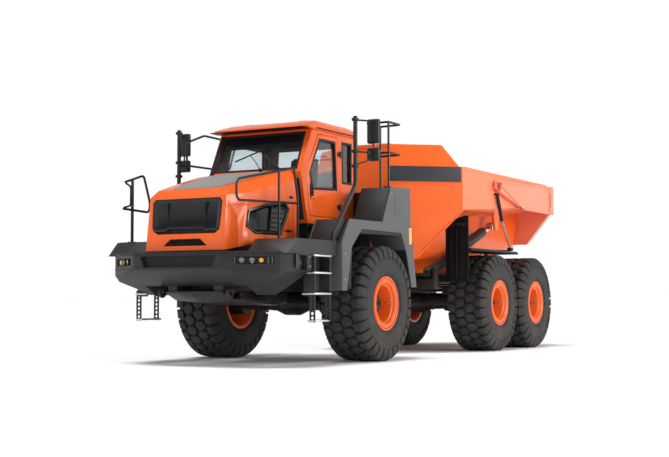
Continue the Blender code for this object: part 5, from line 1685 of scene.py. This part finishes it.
@dataclass
class Tailgate:
    """The tailgate's plate and arms, with their ribs, pivot brackets and slots."""

    pivot: Pair = (5.00, 3.24)
    arm_face: float = 1.70

    def strip(self, side: int, outline: Outline, height: float) -> Item:
        """A plate lying on an arm's outer face and standing out by this height."""
        return side_plate(side, outline, self.arm_face - 0.002, self.arm_face + height, 0.005)

    def build(self, bench: Bench) -> None:
        """Builds the tailgate's pieces, all of which swing with it."""
        y, z = self.pivot
        outer = self.arm_face
        dark, ribs, bright, slots = [], [], [], []
        for side, _ in SIDES:
            dark.append(self.strip(side, [(y - 0.09, z + 0.06), (y + 0.16, z + 0.05), (y + 0.09, z - 0.05),
                                          (y, z - 0.12), (y - 0.09, z - 0.05)], 0.012))
            dark.append(drum((side * (outer - 0.01), y, z), (side * (outer + 0.030), y, z), 0.05, 24, 0.008))
            for outline, height in (
                    ([(y + 0.10, z - 0.02), (y + 0.15, z - 0.02), (6.24, 2.89), (6.18, 2.87)], 0.026),
                    ([(y + 0.02, z + 0.085), (8.03, 3.44), (8.03, 3.405), (y + 0.02, z + 0.055)], 0.022),
                    ([(6.20, 2.845), (8.03, 2.845), (8.03, 2.875), (6.20, 2.878)], 0.018),
                    ([(7.86, 2.86), (7.90, 2.86), (7.90, 3.42), (7.86, 3.42)], 0.018)):
                ribs.append(self.strip(side, outline, height))
            dark.append(self.strip(side, [(6.10, 2.90), (6.36, 2.86), (6.34, 2.80), (6.14, 2.83)], 0.020))
            bright.append(bolts([(side * (outer + 0.018), 6.18, 2.855), (side * (outer + 0.018), 6.29, 2.838)],
                                (side, 0, 0)))
            bright.append(bolts([(side * (outer + 0.026), y, z)], (side, 0, 0), 0.022))
            slots.append(side_plate(side, [(7.935, 3.00), (7.975, 2.98), (7.975, 3.30), (7.935, 3.28)],
                                    outer - 0.004, outer + 0.004, 0.002))
        # the gate's plate and ribs take the paler, pinker orange of the painted highlight
        bench.settle(bench.taken("tailgate", 0.012, 3), "gate_plate", Paint.GATE_HIGHLIGHT, "tailgate", ("tailgate",))
        bench.settle(joined(*ribs), "gate_ribs", Paint.GATE_HIGHLIGHT, "tailgate")
        bench.settle(joined(*dark), "gate_brackets", Paint.RUST, "tailgate")
        bench.settle(joined(*bright), "gate_bolts", Paint.STEEL, "tailgate")
        bench.settle(joined(*slots), "gate_slots", Paint.PLASTIC, "tailgate")


@dataclass
class Chassis:
    """What shows under and between the units: guards, the hitch's cap, pipes, brackets and the tail panel."""

    guard_y: Pair = (3.56, 5.93)
    guard_top: float = 1.93

    def front(self, bench: Bench) -> None:
        """The belly guard, the sump, the bars behind the cab and the hitch's bolted cap, on the front unit."""
        belly = plate([(-2.86, 1.09), (-2.60, 0.98), (-1.30, 0.90), (-1.28, 0.93), (-2.58, 1.02), (-2.84, 1.12)],
                      Axis.X, -0.52, 0.52, 0.008)
        sump = plate([(-1.25, 1.12), (-0.55, 1.12), (-0.62, 0.92), (-1.15, 0.90)], Axis.X, -0.26, 0.26, 0.03, 3)
        grids = [block((-0.95, 0.884, 2.24 + 0.055 * i), (0.95, 0.902, 2.262 + 0.055 * i), 0.004) for i in range(9)]
        bench.settle(joined(belly, sump, *grids), "front_guards", Paint.CHASSIS, FRONT)
        ring = [(0.20 * math.cos(a), 1.52 + 0.20 * math.sin(a)) for a in (math.pi * i / 6 for i in range(12))]
        cap = drum((0, 1.52, 1.55), (0, 1.52, 1.60), 0.12, 32, 0.01)
        cap = joined(bolts([(a, b, 1.562) for a, b in ring], (0, 0, 1), 0.016), cap)
        bench.settle(cap, "hitch_cap", Paint.CHASSIS, FRONT)

    def rear(self, bench: Bench) -> None:
        """The tyre guards, pipes, red brackets, tail lamps and rail bolts, on the rear unit."""
        guards, reds, pipes, lamps, housings = [], [], [], [], []
        top = self.guard_top
        for side, _ in SIDES:
            guards += [side_block(side, xs, self.guard_y, (top - 0.004, top + 0.030), 0.008)
                       for xs in ((1.695, 1.72), (1.22, 1.245))]
            guards += [side_block(side, (1.23, 1.71), (y, y + 0.03), (top - 0.004, top + 0.022), 0.006)
                       for y in (3.60, 4.35, 5.10, 5.88)]
            guards.append(side_block(side, (1.24, 1.62), (3.484, 3.502), (2.37, 2.42), 0.004))
            guards.append(bolts([(side * x, 3.484, 2.395) for x in (1.28, 1.38, 1.48, 1.58)], (0, -1, 0), 0.013))
            guards += [side_block(side, (x - 0.006, x + 0.006), (3.492, 3.502), (1.40, 2.34), 0.003)
                       for x in (1.34, 1.45, 1.56)]
            reds.append(side_plate(side, [(1.98, 1.17), (2.60, 1.17), (2.60, 1.46), (2.34, 1.52), (1.98, 1.40)],
                                   0.505, 0.535))
            reds.append(side_plate(side, [(2.62, 1.52), (2.98, 1.52), (2.98, 1.60), (2.70, 1.66)], 0.42, 0.56, 0.008))
            reds.append(drum((side * 0.50, 2.30, 1.34), (side * 0.60, 2.30, 1.34), 0.06, 24, 0.01))
            pipes += [tube([(side * 0.515, 3.20, z), (side * 0.545, 3.30, z), (side * 0.545, 6.60, z),
                            (side * 0.515, 6.70, z)], 0.013, 0.05) for z in (1.22, 1.27, 1.32)]
            housings.append(block((side * 0.41 - 0.085, 7.385, 1.20), (side * 0.41 + 0.085, 7.43, 1.46), 0.012))
            lamps += [drum((side * 0.41, 7.425, z), (side * 0.41, 7.442, z), 0.045, 24, 0.005) for z in (1.27, 1.39)]
            housings.append(bolts([(side * 0.502, y, z) for y in (3.5, 4.0, 4.5, 5.4, 6.4, 6.9) for z in (1.20, 1.46)],
                                  (side, 0, 0)))
        tail = block((-0.505, 7.375, 1.16), (0.505, 7.40, 1.50), 0.01)
        bench.settle(joined(*guards), "tyre_guards", Paint.CHASSIS, "rear_unit")
        bench.settle(joined(*reds), "red_brackets", Paint.RUST, "rear_unit")
        bench.settle(joined(*pipes), "brake_pipes", Paint.STEEL, "rear_unit")
        bench.settle(joined(tail, *housings), "tail_panel", Paint.CHASSIS, "rear_unit")
        bench.settle(joined(*lamps), "tail_lamps", Paint.RED, "rear_unit")

    def build(self, bench: Bench) -> None:
        """Builds both ends."""
        self.front(bench)
        self.rear(bench)


# ------------------------------------------------------------------ studio


@dataclass
class Studio:
    """Pale floor, soft light and the camera."""

    focus: tuple[float, float, float] = (11.06, -18.18, 0.99)
    azimuth: float = 29.45
    elevation: float = -3.23
    lens: float = 67.87
    floor_half: float = 400.0
    overhead: float = 0.22

    def camera(self, bench: Bench) -> None:
        """Sets the camera low, off the truck's left front corner."""
        data = bpy.data.cameras.new("camera")
        data.lens = self.lens
        data.sensor_width = 36.0
        data.clip_end = 1000.0
        camera = linked("camera", data)
        a, e = math.radians(self.azimuth), math.radians(self.elevation)
        back = Vector((math.sin(a) * math.cos(e), -math.cos(a) * math.cos(e), math.sin(e)))
        camera.location = Vector(self.focus) + Vector((0.0, bench.shift, 0.0))
        camera.rotation_euler = (-back).to_track_quat("-Z", "Y").to_euler()
        bpy.context.scene.camera = camera

    def floor(self) -> None:
        """Lays the floor."""
        bpy.ops.mesh.primitive_plane_add(size=2.0 * self.floor_half, location=(0.0, 0.0, -0.001))
        floor = bpy.context.object
        floor.name = "floor"
        paint = bpy.data.materials.new("studio_floor")
        paint.use_nodes = True
        shader = paint.node_tree.nodes["Principled BSDF"]
        shader.inputs["Base Color"].default_value = (0.90, 0.90, 0.90, 1.0)
        shader.inputs["Roughness"].default_value = 0.75
        shader.inputs["Specular IOR Level"].default_value = 0.1
        floor.data.materials.append(paint)

    def light(self, name: str, place: Point, aim: Point, size: float, power: float) -> None:
        """Hangs one soft square light.

        Args:
            name: the light's name.
            place: where it hangs.
            aim: the point it faces.
            size: its side.
            power: its power in watts.
        """
        data = bpy.data.lights.new(name, "AREA")
        data.shape = "SQUARE"
        data.size = size
        data.energy = power
        lamp = linked(name, data)
        lamp.location = place
        lamp.rotation_euler = (Vector(aim) - Vector(place)).to_track_quat("-Z", "Y").to_euler()

    def sky_light(self, way: Point, strength: float, softness: float) -> None:
        """Adds one distant, very soft light that also evens out the floor.

        Args:
            way: the direction it comes from.
            strength: its strength.
            softness: its apparent width in degrees.
        """
        data = bpy.data.lights.new("sky", "SUN")
        data.energy = strength
        data.angle = math.radians(softness)
        lamp = linked("sky", data)
        lamp.rotation_euler = (-Vector(way)).to_track_quat("-Z", "Y").to_euler()

    def surround(self) -> None:
        """Makes the surround: white near the horizon, darker overhead."""
        world = bpy.data.worlds.new("surround")
        bpy.context.scene.world = world
        world.use_nodes = True
        tree = world.node_tree
        split = tree.nodes.new("ShaderNodeSeparateXYZ")
        tree.links.new(tree.nodes.new("ShaderNodeTexCoord").outputs["Generated"], split.inputs[0])
        fade = tree.nodes.new("ShaderNodeMapRange")
        for label, value in (("From Min", 0.27), ("From Max", 0.45), ("To Min", 1.0), ("To Max", self.overhead)):
            fade.inputs[label].default_value = value
        tree.links.new(split.outputs["Z"], fade.inputs["Value"])
        tree.links.new(fade.outputs[0], tree.nodes["Background"].inputs["Strength"])
        tree.nodes["Background"].inputs["Color"].default_value = (1.0, 1.0, 1.0, 1.0)

    def build(self, bench: Bench) -> None:
        """Makes the floor, the lights, the pale surround and the camera."""
        self.camera(bench)
        self.floor()
        self.sky_light((-0.10, -0.36, 1.40), 2.75, 24.0)
        self.light("key", (6.0, -16.0, 13.0), (0.0, -1.0, 1.5), 8.0, 90.0)
        self.light("side", (16.0, 3.0, 7.0), (1.0, 1.0, 2.0), 7.0, 1550.0)
        self.surround()
        bpy.context.scene.view_settings.view_transform = "Standard"


def main() -> None:
    """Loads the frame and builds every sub-assembly in order."""
    logging.basicConfig(level=logging.INFO, format="%(name)s: %(message)s")
    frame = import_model()
    bench = Bench.open(frame)
    Carried().build(bench)
    RunningGear().build(bench)
    for assembly in (FrontEnd(), Hood(), Cab(), Access(), Fenders(), LoadBody(), Tailgate(), Chassis()):
        assembly.build(bench)
        LOG.info("built %s", type(assembly).__name__)
    Studio().build(bench)


if __name__ == "__main__":
    main()
